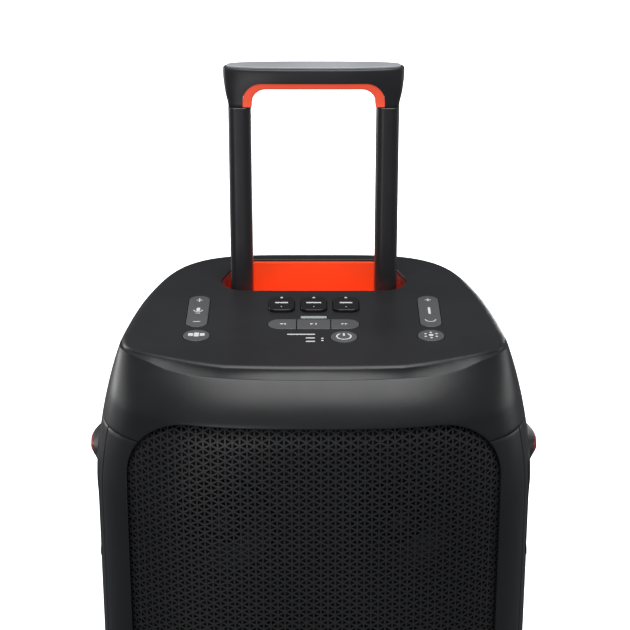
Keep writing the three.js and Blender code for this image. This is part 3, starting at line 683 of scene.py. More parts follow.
def grille_outline(grow):
    return resample(rounded_rect((-GRILLE_HALF - grow, GRILLE_HALF + grow),
                                 (GRILLE_BOTTOM - grow, GRILLE_TOP + grow), GRILLE_CORNER + grow, 14), 6.0)


def front_place(x, z, depth):
    return x, Outline(z).face_y(x) + depth, z


cut(top_housing, flared(resample(pocket_outline(LINER_WALL + GAP), 5.0),
                        lambda x, y, depth: top_place(x, y, -depth), 0.8, 12.0, 34.0))
cut(top_housing, flared(grille_outline(0.8), front_place, 0.9, 40.0, 34.0))

# ---------- controls on the top face ----------
KEY_X = 23.1
KEY_SPAN = (-68.5, -44.5)
MEDIA_SPAN = (-97.6, -81.2)
MEDIA_Y = -89.4
MEDIA_HALF = 32.0
MEDIA_SPLIT = 12.0
MEDIA_CORNER = 8.1
ROCKER_X = 82.4
ROCKER_SPAN = (-94.2, -40.0)
ROUND_Y = -108.8
POWER_SPOT = (20.9, -111.0)
BUTTON_R = 9.2
KEY_HALF = 9.3
ROCKER_HALF = 7.5
SIDE_BUTTON_X = 81.3
CAP_FOOT = -4.0
HOLE = 0.45

key_outline = {
    f"key_{place}": rounded_rect((x - KEY_HALF, x + KEY_HALF), KEY_SPAN, 5.4)
    for place, x in (("left", -KEY_X), ("middle", 0.0), ("right", KEY_X))
}
round_outline = {
    "power_button": circle(*POWER_SPOT, BUTTON_R, 56),
    "sound_button": circle(-SIDE_BUTTON_X, ROUND_Y, BUTTON_R, 56),
    "light_button": circle(SIDE_BUTTON_X, ROUND_Y, BUTTON_R, 56),
}
rocker_outline = {
    f"level_rocker_{place}": rounded_rect((x - ROCKER_HALF, x + ROCKER_HALF), ROCKER_SPAN, 7.3)
    for place, x in (("left", -ROCKER_X), ("right", ROCKER_X))
}
window_outline = rounded_rect((-9.3, 9.3), (-78.6, -74.8), 0.8, 4)
media_outline = rounded_rect((-MEDIA_HALF, MEDIA_HALF), MEDIA_SPAN, MEDIA_CORNER)
holes = [*key_outline.values(), *round_outline.values(), *rocker_outline.values(), window_outline,
         media_outline]
cut(top_housing, join("cutters", [prism(grown(outline, HOLE), top_place, -9.0, 8.0) for outline in holes]))
shade(top_housing, 34.0)
stand_for(top_housing, "cabinet", "housing", "top_housing")


def media_piece(index):
    """A third of the pill, cut straight where it meets the next one."""
    edges = (-MEDIA_HALF, -MEDIA_SPLIT, MEDIA_SPLIT, MEDIA_HALF)
    left = edges[index] + (0.3 if index else 0.0)
    right = edges[index + 1] - (0.3 if index < 2 else 0.0)
    left_radius = MEDIA_CORNER if index == 0 else 0.4
    right_radius = MEDIA_CORNER if index == 2 else 0.4
    low, high = MEDIA_SPAN
    return rounded_polygon([(right, low, right_radius), (right, high, right_radius),
                            (left, high, left_radius), (left, low, left_radius)], 8)


for outlines, top, edge, look, crown, slot in ((key_outline, 2.2, 0.9, KEY, 0.15, "key_plastic"),
                                               (round_outline, 0.7, 0.5, BUTTON, 0.1, "button_grey"),
                                               (rocker_outline, 0.6, 0.5, BUTTON, 0.0, "button_grey")):
    for name, outline in outlines.items():
        stand_for(pad(f"{name}_cap", outline, top_place, CAP_FOOT, top, edge, look, crown), name, slot, name)
for index, place in enumerate(("left", "middle", "right")):
    name = f"media_key_{place}"
    stand_for(pad(f"{name}_cap", media_piece(index), top_place, CAP_FOOT, 0.5, 0.4, BUTTON), name,
              "button_grey", name)
stand_for(pad("status_window_lens", window_outline, top_place, CAP_FOOT, 0.1, 0.3, WINDOW), "cabinet",
          "clear_plastic", "status_window")


# ---------- front frame and rear shell ----------
def shell_strip(name, front_side, levels, look):
    """One of the two halves of the cabinet wall, a closed strip with rounded edges along the seam."""
    edge = FRAME_SEAM_Y - GAP / 2 if front_side else FRAME_SEAM_Y + GAP / 2
    step = -1.0 if front_side else 1.0
    lips = ((1.1, 0.0), (0.55, 0.08), (0.25, 0.25), (0.08, 0.5), (0.0, 0.8))

    def span(outline):
        """The angles between which the strip runs, from the seam or to it."""
        turn = outline.front_angle(edge + step * 3.0)
        return (-math.pi / 2, turn) if front_side else (turn, math.pi / 2)

    reference = Outline(420.0)
    start, end = span(reference)
    even = even_angles(reference, start, end, 64 if front_side else 96)
    shares = [(angle - start) / (end - start) for angle in even]

    def seam_point(z, inset, back):
        outline = Outline(z, inset)
        return (*outline.point(outline.front_angle(edge + step * back)), z)

    def half_ring(z, shift, thick):
        outline = Outline(z, shift + thick)
        low, high = span(outline)
        ring = [(*outline.point(lerp(low, high, share)), z) for share in shares]
        seam = [seam_point(z, shift + thick + (0.0 if thick else lip), back) for back, lip in lips]
        return ring + seam if front_side else seam[::-1] + ring

    def whole_ring(half):
        """The half ring and its mirror image, which share the point on the middle plane."""
        if front_side:
            return [(-x, y, z) for x, y, z in reversed(half[1:])] + half
        return half + [(-x, y, z) for x, y, z in reversed(half[:-1])]

    loops = [whole_ring(half_ring(z, shift, 0.0)) + whole_ring(half_ring(z, 0.0, WALL))[::-1]
             for z, shift in levels]
    count = len(loops[0])
    half = count // 2
    verts = [point for loop in loops for point in loop]
    faces = grid_faces(len(loops), count, True)
    for base in (0, (len(loops) - 1) * count):
        faces += [(base + i, base + i + 1, base + count - 2 - i, base + count - 1 - i)
                  for i in range(half - 1)]
    return make(name, verts, faces, look)


def wall_levels(low, high, count):
    ends = ((0.0, 0.7), (0.15, 0.35), (0.4, 0.12), (0.9, 0.0))
    levels = [(low + up, shift) for up, shift in ends]
    levels += [(lerp(low + 3.0, high - 3.0, i / count), 0.0) for i in range(count + 1)]
    return levels + [(high - up, shift) for up, shift in reversed(ends)]


levels = wall_levels(BASE_SEAM_Z + GAP, HOUSING_SEAM_Z, 64)
front_frame = shell_strip("front_frame_skin", True, levels, HOUSING)
cut(front_frame, flared(grille_outline(0.8), front_place, 0.9, 40.0, 34.0))
shade(front_frame, 34.0)
stand_for(front_frame, "cabinet", "housing", "front_frame")

rear_shell = shell_strip("rear_shell_skin", False, levels, HOUSING)
shade(rear_shell, 34.0)
stand_for(rear_shell, "cabinet", "housing", "rear_shell")

# ---------- grille ----------
PITCH = 5.7
STRUT = 1.2
SHEET = 1.0


def border_distance(x, z):
    """Distance inside the grille opening's outline, negative outside it."""
    middle_z = (GRILLE_TOP + GRILLE_BOTTOM) / 2
    half_z = (GRILLE_TOP - GRILLE_BOTTOM) / 2
    qx = abs(x) - (GRILLE_HALF - GRILLE_CORNER)
    qz = abs(z - middle_z) - (half_z - GRILLE_CORNER)
    outside = math.hypot(max(qx, 0.0), max(qz, 0.0)) + min(max(qx, qz), 0.0)
    return GRILLE_CORNER - outside


arc_table = [(0.0, 0.0)]
arc_outline = Outline(400.0)
for i in range(1, 521):
    x = i * 0.25
    last_x, last_run = arc_table[-1]
    rise = arc_outline.face_y(x) - arc_outline.face_y(last_x)
    arc_table.append((x, last_run + math.hypot(x - last_x, rise)))


def unrolled(run):
    """The x at the given distance from the middle along the bent sheet."""
    position = abs(run)
    low, high = 0, len(arc_table) - 1
    while high - low > 1:
        middle = (low + high) // 2
        if arc_table[middle][1] <= position:
            low = middle
        else:
            high = middle
    x0, r0 = arc_table[low]
    x1, r1 = arc_table[high]
    return math.copysign(x0 + (x1 - x0) * (position - r0) / (r1 - r0), run)


def sheet_point(run, z, depth):
    x = unrolled(run)
    inside = border_distance(x, z)
    pillow = 0.5 + 3.0 * clamp01(1 - inside / 14.0) ** 2
    outline = Outline(z, 0.0)
    return x, outline.face_y(x) + pillow + depth, z


def build_grille():
    column_step = PITCH * math.sqrt(3) / 2
    shrink = 1 - STRUT * math.sqrt(3) / PITCH
    limit = arc_table[-1][1] - 0.5
    columns = int(limit / column_step)
    rows = int((GRILLE_TOP - GRILLE_BOTTOM) / PITCH) + 4
    verts = []
    faces = []
    placed = {}

    def node(column, row):
        """Where three struts meet. Odd columns sit half a pitch higher."""
        return column * column_step, GRILLE_BOTTOM - PITCH + (row + (0.5 if column % 2 else 0.0)) * PITCH

    def vertex(key, run, z, depth):
        if key not in placed:
            placed[key] = len(verts)
            verts.append(sheet_point(run, z, depth))
        return placed[key]

    def cell(corners):
        flat = [node(*corner) for corner in corners]
        if any(abs(run) > limit or border_distance(unrolled(run), z) < -3.0 for run, z in flat):
            return
        middle_run = sum(run for run, _ in flat) / 3
        middle_z = sum(z for _, z in flat) / 3
        outer = [(vertex((*corner, 0), run, z, 0.0), vertex((*corner, 1), run, z, SHEET))
                 for corner, (run, z) in zip(corners, flat)]
        hole = []
        for run, z in flat:
            inner_run = lerp(middle_run, run, shrink)
            inner_z = lerp(middle_z, z, shrink)
            hole.append((len(verts), len(verts) + 1))
            verts.append(sheet_point(inner_run, inner_z, 0.12))
            verts.append(sheet_point(inner_run, inner_z, SHEET))
        for i in range(3):
            j = (i + 1) % 3
            faces.append((outer[i][0], outer[j][0], hole[j][0], hole[i][0]))
            faces.append((hole[i][0], hole[j][0], hole[j][1], hole[i][1]))
            faces.append((hole[i][1], hole[j][1], outer[j][1], outer[i][1]))

    for column in range(-columns, columns):
        for row in range(rows):
            if column % 2:
                cell(((column + 1, row), (column + 1, row + 1), (column, row)))
                cell(((column, row), (column, row + 1), (column + 1, row + 1)))
            else:
                cell(((column, row), (column, row + 1), (column + 1, row)))
                cell(((column + 1, row), (column + 1, row + 1), (column, row + 1)))
    return verts, faces


grille_verts, grille_faces = build_grille()
grille = make("grille_mesh", grille_verts, grille_faces, GRILLE, 30.0)
stand_for(grille, "cabinet", "grille_metal", "grille")

# ---------- handle pocket ----------
POCKET_DROP = 1.4
liner_rings = [
    [(x, y, top_plane(y) - POCKET_DROP) for x, y in pocket_outline(LINER_WALL)],
    [(x, y, POCKET_FLOOR - LINER_WALL) for x, y in pocket_outline(LINER_WALL)],
]
inside_rings = [[(x, y, POCKET_FLOOR) for x, y in pocket_outline(-4.0)]]
for turn in arc_steps(5):
    inside_rings.append([(x, y, POCKET_FLOOR + 4.0 * (1 - math.cos(turn)))
                         for x, y in pocket_outline(-4.0 * (1 - math.sin(turn)))])
for grow, drop in ((0.0, POCKET_DROP + 1.0), (0.3, POCKET_DROP + 0.3), (0.9, POCKET_DROP)):
    inside_rings.append([(x, y, top_plane(y) - drop) for x, y in pocket_outline(grow)])
pocket = loft("handle_pocket_tub", list(reversed(liner_rings)) + list(reversed(inside_rings)), POCKET)
post_holes = []
for side in (-1, 1):
    outline = centred_rect(side * POST_X, POST_Y, POST_W / 2 + 0.5, POST_D / 2 + 0.5, 6.0)
    post_holes.append(prism(outline, plain, 630.0, 656.0))
cut(pocket, join("cutters", post_holes))
shade(pocket, 34.0)
# Its faces inside the cabinet turn black: painted shade.
blacken(pocket, (0.0, 0.0, 0.0), (0.0, 0.0, 1.0))
stand_for(pocket, "cabinet", "orange_plastic", "handle_pocket_liner")

# ---------- pull handle ----------
post_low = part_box("handle_post_left")[0][2] / MM
GRIP_PLANS = ((GRIP_FOOT_Z, GRIP_FOOT_HALF, 10.2, 5.5), (822.0, GRIP_FOOT_HALF + 0.4, 10.2, 5.0),
              (829.0, GRIP_FOOT_HALF + 2.1, 10.8, 4.2), (839.0, GRIP_HALF - 0.2, GRIP_HALF_DEPTH, 3.2),
              (HANDLE_TOP - 2.0, GRIP_HALF, GRIP_HALF_DEPTH, 2.9),
              (HANDLE_TOP, GRIP_HALF - 1.6, GRIP_HALF_DEPTH - 1.0, 2.8))


def grip_plan(z):
    return [chart(z, *((plan[0], plan[k]) for plan in GRIP_PLANS[:-1])) for k in (1, 2, 3)]


def post_piece(side):
    outline = centred_rect(0.0, 0.0, POST_W / 2, POST_D / 2, 5.5)
    rings = []
    for z, shift in ((post_low, 1.0), (post_low + 1.0, 0.0), (640.0, 0.0), (700.0, 0.0), (760.0, 0.0),
                     (GRIP_FOOT_Z - GAP - 0.5, 0.0), (GRIP_FOOT_Z - GAP, 0.5)):
        rings.append([(side * POST_X + x, POST_Y + y, z) for x, y in grown(outline, -shift)])
    return loft("post", rings, POST)


for side, place in SIDES:
    post = post_piece(side)
    post.name = f"handle_post_{place}_tube"
    stand_for(post, "handle", "post_metal", f"handle_post_{place}")

grip_rings = []
for z, shrink in ((GRIP_FOOT_Z, 0.5), (GRIP_FOOT_Z + 0.2, 0.2), (GRIP_FOOT_Z + 0.6, 0.0), (822.0, 0.0),
                  (825.0, 0.0), (828.0, 0.0), (831.0, 0.0), (834.0, 0.0), (837.0, 0.0), (840.0, 0.0),
                  (843.0, 0.0), (845.0, 0.0), (846.0, 0.15), (846.6, 0.5), (847.0, 1.05), (847.15, 1.7)):
    half, depth, power = grip_plan(min(z, 845.0))
    plan = superellipse(0.0, POST_Y, half - shrink, depth - shrink, power, 144)
    grip_rings.append([(x, y, z) for x, y in plan])
half, depth, power = grip_plan(845.0)
for shrink, z in ((2.3, 847.15), (2.4, 846.4)):
    plan = superellipse(0.0, POST_Y, half - shrink, depth - shrink, power, 144)
    grip_rings.append([(x, y, z) for x, y in plan])
grip = loft("grip_shell_body", grip_rings, POST)


def hand_opening(half_width, top, radius, foot):
    points = [(-half_width, foot), (half_width, foot)]
    for turn in arc_steps(12):
        points.append((half_width - radius + radius * math.cos(turn), top - radius + radius * math.sin(turn)))
    for turn in arc_steps(12):
        points.append((-half_width + radius - radius * math.sin(turn),
                       top - radius + radius * math.cos(turn)))
    return points


cut(grip, prism(hand_opening(LINER_OUTER_X + GAP, GRIP_UNDER_Z, 14.0, 800.0), upright,
                POST_Y - 20, POST_Y + 20))
shade(grip, 34.0)
stand_for(grip, "handle", "housing", "grip_shell")

plate = superellipse(0.0, POST_Y, half - 2.7, depth - 2.5, power, 144)
stand_for(pad("grip_plate_gloss", plate, plain, 846.0, HANDLE_TOP + 0.25, 0.4, PLATE),
          "handle", "plate_grey", "grip_top_plate")


def grip_half_depth(x, z):
    half, depth, power = grip_plan(z)
    return depth * (1 - clamp01(abs(x) / half) ** power) ** (1 / power)


def liner_path():
    """Pairs of points, outside and inside, along the orange band from its right foot to its left one."""
    foot = GRIP_FOOT_Z + 0.4
    outer = hand_opening(LINER_OUTER_X, GRIP_UNDER_Z - GAP, 13.7, foot)[1:] + [(-LINER_OUTER_X, foot)]
    inner = hand_opening(LINER_INNER_X, LINER_UNDER_Z, 10.0, foot)[1:] + [(-LINER_INNER_X, foot)]
    return list(zip(outer, inner))


LINER_BEND = 1.2
liner_sections = []
stations = liner_path()
dense = []
for a, b in zip(stations, stations[1:]):
    steps = 10 if abs(a[0][0] - b[0][0]) > 30 or abs(a[0][1] - b[0][1]) > 3 else 1
    for k in range(steps):
        dense.append(tuple(tuple(lerp(a[i][j], b[i][j], k / steps) for j in (0, 1)) for i in (0, 1)))
dense.append(stations[-1])
for (outer_x, outer_z), (inner_x, inner_z) in dense:
    ring = []
    reach = grip_half_depth(outer_x, outer_z) - 0.5
    reach_in = grip_half_depth(inner_x, inner_z) - 0.5
    thick = math.hypot(outer_x - inner_x, outer_z - inner_z)
    for side in (-1, 1):
        for step in arc_steps(4):
            turn = step if side < 0 else math.pi / 2 - step
            share = 1 - (LINER_BEND * (1 - math.sin(turn))) / thick
            back = LINER_BEND * (1 - math.cos(turn))
            ring.append((lerp(outer_x, inner_x, share), POST_Y + side * (reach_in - back),
                         lerp(outer_z, inner_z, share)))
    ring.append((outer_x, POST_Y + reach, outer_z))
    ring.append((outer_x, POST_Y - reach, outer_z))
    liner_sections.append(ring)
liner = loft("grip_liner_band", liner_sections, ORANGE, 40.0)
stand_for(liner, "handle", "orange_plastic", "grip_liner")

# ---------- marks on the controls ----------
def block_mark(x, y, width, height, radius=0.35):
    return centred_rect(x, y, width / 2, height / 2, radius, 3)


def wedge_mark(x, y, reach, turn):
    return rounded_polygon([(x + reach * math.cos(turn + i * 2 * math.pi / 3),
                             y + reach * math.sin(turn + i * 2 * math.pi / 3), 0.25) for i in range(3)], 3)


def arc_mark(x, y, radius, width, start, end):
    turns = [lerp(start, end, i / 28) for i in range(29)]
    outer, inner = radius + width / 2, radius - width / 2
    return ([(x + outer * math.cos(turn), y + outer * math.sin(turn)) for turn in turns]
            + [(x + inner * math.cos(turn), y + inner * math.sin(turn)) for turn in reversed(turns)])


MARK_RISE = 0.06


def print_marks(name, body, height, outlines):
    """One printed piece from outlines on the top face, a hair above the given height."""
    pieces = [prism(outline, top_place, height - 0.5, height + MARK_RISE, name) for outline in outlines]
    marks = join(f"{name}_print", pieces)
    marks.data.materials.clear()
    marks.data.materials.append(PRINT)
    stand_for(marks, body, "clear_plastic")


for place, x in (("left", -KEY_X), ("middle", 0.0), ("right", KEY_X)):
    width = 10.6 if place == "middle" else 9.2
    print_marks(f"key_{place}", f"key_{place}", 2.33,
                [circle(x, KEY_SPAN[1] - 2.9, 1.05, 24), block_mark(x, -56.4, width, 1.9),
                 wedge_mark(x, -63.4, 0.8, -math.pi / 2)])
back_marks = [wedge_mark(x, MEDIA_Y, 1.5, math.pi) for x in (-22.6, -20.2)]
play_marks = [wedge_mark(-1.6, MEDIA_Y, 1.6, 0.0), block_mark(1.6, MEDIA_Y, 0.8, 2.8)]
next_marks = [wedge_mark(x, MEDIA_Y, 1.5, 0.0) for x in (20.2, 22.6)]
for place, marks in (("left", back_marks), ("middle", play_marks), ("right", next_marks)):
    print_marks(f"media_key_{place}", f"media_key_{place}", 0.5, marks)
print_marks("level_rocker_left", "level_rocker_left", 0.6, [
    block_mark(-ROCKER_X, -48.0, 4.4, 0.9), block_mark(-ROCKER_X, -46.1, 0.9, 2.4),
    block_mark(-ROCKER_X, -49.9, 0.9, 2.4), centred_rect(-ROCKER_X, -64.6, 1.3, 3.0, 1.2, 6),
    arc_mark(-ROCKER_X, -65.6, 3.0, 0.8, math.pi, 2 * math.pi),
    block_mark(-ROCKER_X, -71.0, 3.6, 0.9), block_mark(-ROCKER_X, -85.6, 5.2, 0.9)])
print_marks("level_rocker_right", "level_rocker_right", 0.6, [
    block_mark(ROCKER_X, -47.6, 1.0, 4.2), block_mark(ROCKER_X, -47.6, 4.2, 1.0),
    block_mark(ROCKER_X, -66.6, 1.7, 11.6, 0.6), arc_mark(ROCKER_X, -82.0, 3.6, 0.8, math.pi, 2 * math.pi)])
print_marks("power_button", "power_button", 0.78, [
    arc_mark(*POWER_SPOT, 4.9, 1.1, math.radians(122), math.radians(418)),
    block_mark(POWER_SPOT[0], POWER_SPOT[1] + 3.0, 1.3, 4.6)])
print_marks("sound_button", "sound_button", 0.78,
            [block_mark(shift - SIDE_BUTTON_X, ROUND_Y + 0.8, 3.4, height, 0.6)
             for shift, height in ((-4.0, 4.4), (0.0, 6.4), (4.0, 4.4))])
star_marks = [circle(SIDE_BUTTON_X, ROUND_Y, 1.7, 20)] + [
    circle(SIDE_BUTTON_X + 4.4 * math.cos(turn), ROUND_Y + 4.4 * math.sin(turn), 0.9, 16)
    for turn in (math.radians(60 * i + 30) for i in range(6))]
print_marks("light_button", "light_button", 0.78, star_marks)
panel_bars = ((-18.6, (-106.8, -105.2)), (-5.5, (-112.8, -111.2)), (-5.5, (-118.4, -116.8)))
print_marks("panel", "cabinet", 0.0,
            [rounded_rect((left, 0.9), span_y, 0.5, 3) for left, span_y in panel_bars])
lamp_dots = join("panel_lamps",
                 [prism(circle(6.0, y, 0.9, 20), top_place, -0.4, MARK_RISE) for y in (-112.6, -116.2)])
lamp_dots.data.materials.append(WINDOW)
stand_for(lamp_dots, "cabinet", "clear_plastic")


# ---------- openings of the rear shell ----------
WHEEL_R = 50.0
WHEEL_W = 28.0
WHEEL_X = 132.0
WHEEL_Y = 183.5 - WHEEL_R
WHEEL_Z = WHEEL_R + 2.0
RIM_R = 38.0
AXLE_R = 5.0
WELL_R = WHEEL_R + 6.0
BEAM_HALF = 112.0
BEAM_FRONT = 70.0
BEAM_REAR = 150.0
BEAM_LOW = 18.0
BEAM_TOP = 86.0
PORT_Z = 505.0
PORT_R = 30.0
PORT_RIM = 7.0
BAY_Z = 370.0
BAY_HALF_X = 58.0
BAY_HALF_Z = 44.0
BAY_RIM = 4.0
BAY_FACE_Y = 125.5
BAY_BACK_Y = 97.0
GRIP_BAY_Y = (-122.0, -40.0)
GRIP_BAY_Z = (520.0, 572.0)
GRIP_BAY_X = 124.0
GRIP_TOP_Z = 600.0
BROW_X = 163.0


def side_x(y, z):
    """The side surface of the cabinet."""
    outline = Outline(z)
    if y < outline.widest:
        along = (outline.widest - y) / (outline.widest - outline.front)
        power, narrowing = outline.front_power, 1.0
    else:
        along = (y - outline.widest) / (outline.rear - outline.widest)
        power, narrowing = outline.rear_power, 1 - outline.taper * along ** 1.3
    return outline.half * narrowing * (1 - clamp01(along) ** power) ** (1 / power)


def back_y(x, z):
    """The rear surface of the cabinet."""
    outline = Outline(z)
    low, high = 0.0, math.pi / 2
    for _ in range(30):
        middle = (low + high) / 2
        if outline.point(middle)[0] > abs(x):
            low = middle
        else:
            high = middle
    return outline.point(high)[1]


def side_place(side, rise=0.0):
    return lambda y, z, depth: (side * (side_x(y, z) + rise - depth), y, z)


def back_place(x, z, depth):
    return x, back_y(x, z) - depth, z


def bay_outline(grow):
    return centred_rect(0.0, BAY_Z, BAY_HALF_X + BAY_RIM + grow, BAY_HALF_Z + BAY_RIM + grow, 8.0 + grow)


def grip_outline(grow):
    return rounded_rect((GRIP_BAY_Y[0] - 6.0 - grow, GRIP_BAY_Y[1] + 6.0 + grow),
                        (GRIP_BAY_Z[0] - 6.0 - grow, GRIP_TOP_Z + grow), 14.0 + grow, 12)


def grip_bay(grow, steps=10):
    return rounded_rect((GRIP_BAY_Y[0] - grow, GRIP_BAY_Y[1] + grow),
                        (GRIP_BAY_Z[0] - grow, GRIP_BAY_Z[1] + grow), 8.0 + grow, steps)


def well_cutter(side):
    outline = circle(WHEEL_Y, WHEEL_Z, WELL_R, 96)
    return loft("cutter", [[(side * x, y, z) for y, z in outline] for x in (BEAM_HALF, 190.0)], None)


cut(rear_shell, join("cutters", [
    well_cutter(-1), well_cutter(1),
    flared(resample(bay_outline(GAP), 6.0), back_place, 0.7, 12.0, 24.0),
    flared(circle(0.0, PORT_Z, PORT_R + PORT_RIM + GAP, 96), back_place, 0.9, 14.0, 24.0),
    flared(resample(grip_outline(GAP), 5.0), side_place(-1), 0.7, 12.0, 24.0),
    flared(resample(grip_outline(GAP), 5.0), side_place(1), 0.7, 12.0, 24.0)]))
slot_half = BEAM_HALF + GAP
beam_slot = [(-slot_half, 60.0), (slot_half, 60.0), (slot_half, 170.0), (-slot_half, 170.0)]
cut(rear_shell, prism(beam_slot, plain, BEAM_LOW, BEAM_TOP + GAP))
shade(rear_shell, 34.0)


# ---------- side carry grips ----------
def brow_rise(y, z):
    """How far the brow over the carry grip stands out from the side."""
    plan = 1 - clamp01(abs(y + 70.5) / 28.0) ** 2.2
    section = ease(575.5, 583.5, z) * (1 - ease(587.5, 595.5, z))
    return (BROW_X - HALF_WIDTH - 0.4) * plan * section


def bezel_place(side):
    return lambda y, z, depth: (side * (min(BROW_X, side_x(y, z) + 0.35 + brow_rise(y, z)) - depth), y, z)


TRIM_SPAN_Y = (-91.0, -50.0)
TRIM_SPAN_Z = (582.0, 589.0)


def trim_outline(grow):
    return resample(rounded_rect((TRIM_SPAN_Y[0] - grow, TRIM_SPAN_Y[1] + grow),
                                 (TRIM_SPAN_Z[0] - grow, TRIM_SPAN_Z[1] + grow), 3.2 + grow, 6), 1.5)


def bezel_piece(side):
    place = bezel_place(side)
    rows, columns = 90, 96
    outer = grown(grip_outline(0.0), 4.0)
    low_y, high_y = min(y for y, _ in outer), max(y for y, _ in outer)
    low_z, high_z = min(z for _, z in outer), max(z for _, z in outer)
    verts = []
    for depth in (0.0, 6.0):
        for row in range(rows):
            z = lerp(low_z, high_z, row / (rows - 1))
            for column in range(columns):
                y = lerp(low_y, high_y, column / (columns - 1))
                x = place(y, z, 0.0)[0]
                verts.append((x if depth == 0.0 else side * 148.0, y, z))
    start = rows * columns
    faces = grid_faces(rows, columns, False) + grid_faces(rows, columns, False, start)
    # The border of the sheet, once round.
    border = list(range(columns))
    border += [row * columns + columns - 1 for row in range(1, rows)]
    border += [(rows - 1) * columns + column for column in range(columns - 2, -1, -1)]
    border += [row * columns for row in range(rows - 2, 0, -1)]
    for a, b in zip(border, border[1:] + border[:1]):
        faces.append((a, b, b + start, a + start))
    piece = make("bezel", verts, faces, BLACK)
    cut(piece, prism(grip_outline(0.0), lambda y, z, x: (side * x, y, z), 120.0, 190.0), "INTERSECT")
    cut(piece, flared(resample(grip_bay(WALL + GAP), 4.0), place, 0.8, 10.0, 30.0))
    cut(piece, flared(trim_outline(0.25), place, 0.3, 6.0, 1.8))
    return piece


def grip_tub(side):
    """The orange tub of a carry grip, with a rounded rim and a rounded floor."""
    place = side_place(side, -0.3)

    def level(outline, x):
        return [(side * x, y, z) for y, z in outline]

    def rim(outline, depth):
        return [place(y, z, depth) for y, z in outline]

    def opening(grow):
        return grip_bay(grow, 12)

    rings = [level(opening(WALL), GRIP_BAY_X - WALL), rim(opening(WALL), 1.0)]
    for turn in arc_steps(4):
        rings.append(rim(opening(WALL - 1.0 + math.cos(turn)), 1.0 - math.sin(turn)))
    for turn in arc_steps(5):
        rings.append(rim(opening(1.6 - 1.6 * math.sin(turn)), 1.6 * (1 - math.cos(turn))))
    for turn in arc_steps(5):
        rings.append(level(opening(-5.0 * (1 - math.cos(turn))), GRIP_BAY_X + 5.0 * (1 - math.sin(turn))))
    return loft("tub", rings, TUB)


left_place = bezel_place(-1)
bezel_left = bezel_piece(-1)
shade(bezel_left, 30.0)
tub_left = grip_tub(-1)
grip_y, grip_z = (sum(point[k] for point in grip_bay(0.0)) / len(grip_bay(0.0)) * MM for k in (0, 1))
# Its faces inside the cabinet turn black: painted shade.
blacken(tub_left, (0.0, grip_y, grip_z), (-1.0, 0.0, 0.0))
trim_left = pad("trim", trim_outline(0.0), lambda y, z, rise: left_place(y, z, -rise), -1.5, 0.0, 0.5, TRIM)
for piece, node, slot in ((bezel_left, "side_grip_bezel", "black_plastic"),
                          (tub_left, "side_grip_liner", "orange_plastic"),
                          (trim_left, "side_grip_trim", "orange_plastic")):
    stand_for(mirrored(f"{node}_right_skin", piece), "cabinet", slot, f"{node}_right")
    piece.name = f"{node}_left_skin"
    stand_for(piece, "cabinet", slot, f"{node}_left")


# ---------- base, feet and wheels ----------
def base_ring(z, shift):
    outline = Outline(z, shift)
    return mirrored_ring([(*outline.point(angle), z) for angle in base_angles])


base_angles = even_angles(Outline(40.0), -math.pi / 2, math.pi / 2, 110)
base_rings = [base_ring(BASE_Z, 4.0)]
base_rings += [base_ring(BASE_Z + 4.0 * (1 - math.cos(turn)), 4.0 * (1 - math.sin(turn)))
               for turn in arc_steps(5)]
base_rings += [base_ring(z, 0.0) for z in (18.0, 24.0, 30.0, 36.0, 41.0, BASE_SEAM_Z - 0.9)]
base_rings += [base_ring(BASE_SEAM_Z - up, shift) for up, shift in ((0.4, 0.12), (0.15, 0.35), (0.0, 0.7))]
base_rings += [base_ring(z, WALL) for z in (BASE_SEAM_Z, 30.0, BASE_Z + 4.0)]
base = loft("base_tub", base_rings, BLACK)


def axle_beam():
    """The box across the rear of the base, rounded along its length and at its two ends."""
    profile = rounded_rect((BEAM_FRONT, BEAM_REAR), (BEAM_LOW, BEAM_TOP), 6.0, 6)
    bend = 3.0
    rings = []
    for turn in reversed(arc_steps(4)):
        ring = grown(profile, -bend * (1 - math.cos(turn)))
        rings.append([(-BEAM_HALF + bend * (1 - math.sin(turn)), *point) for point in ring])
    rings += [[(-x, y, z) for x, y, z in ring] for ring in reversed(rings)]
    return loft("beam", rings, BLACK)


cut(base, axle_beam(), "UNION")
bearing_profile = [(ON_AXIS, 90.0), (13.0, 90.0), (13.0, 113.2), (12.2, 114.0), (ON_AXIS, 114.0)]
cut(base, join("cutters", [well_cutter(-1), well_cutter(1)]))
for side in (-1, 1):
    cut(base, lathe("bearing", bearing_profile, along_x(WHEEL_Y, WHEEL_Z, side), BLACK, 48), "UNION")
bore_profile = [(AXLE_R + 0.2, -170.0), (AXLE_R + 0.2, 170.0)]
cut(base, lathe("bore", bore_profile, along_x(WHEEL_Y, WHEEL_Z), None, 40))
grooves = [prism(rounded_rect((-78.0, 78.0), (z - 1.6, z + 1.6), 1.5, 5), lambda x, v, y: (x, y, v),
                 BEAM_REAR - 1.6, 170.0) for z in (34.0, 43.0, 52.0, 61.0, 70.0)]
cut(base, join("cutters", grooves))
shade(base, 30.0)
stand_for(base, "cabinet", "black_plastic", "base")

for end, y, x in (("front", -128.0, 112.0), ("rear", 72.0, 92.0)):
    for side, place in SIDES:
        profile = [(ON_AXIS, 1.2), (5.0, 1.2), (5.6, 0.2), (11.6, 0.0), (12.9, 0.4), (13.7, 1.3),
                   (14.0, 2.6), (13.7, 5.0), (13.7, 9.2), (13.3, BASE_Z - GAP), (ON_AXIS, BASE_Z - GAP)]
        foot = lathe(f"foot_{end}_{place}_pad", profile, along_z(side * x, y), RUBBER, 56)
        stand_for(foot, "cabinet", "rubber", f"foot_{end}_{place}")

TREAD_BLOCKS = 28
TREAD_DEPTH = 1.7


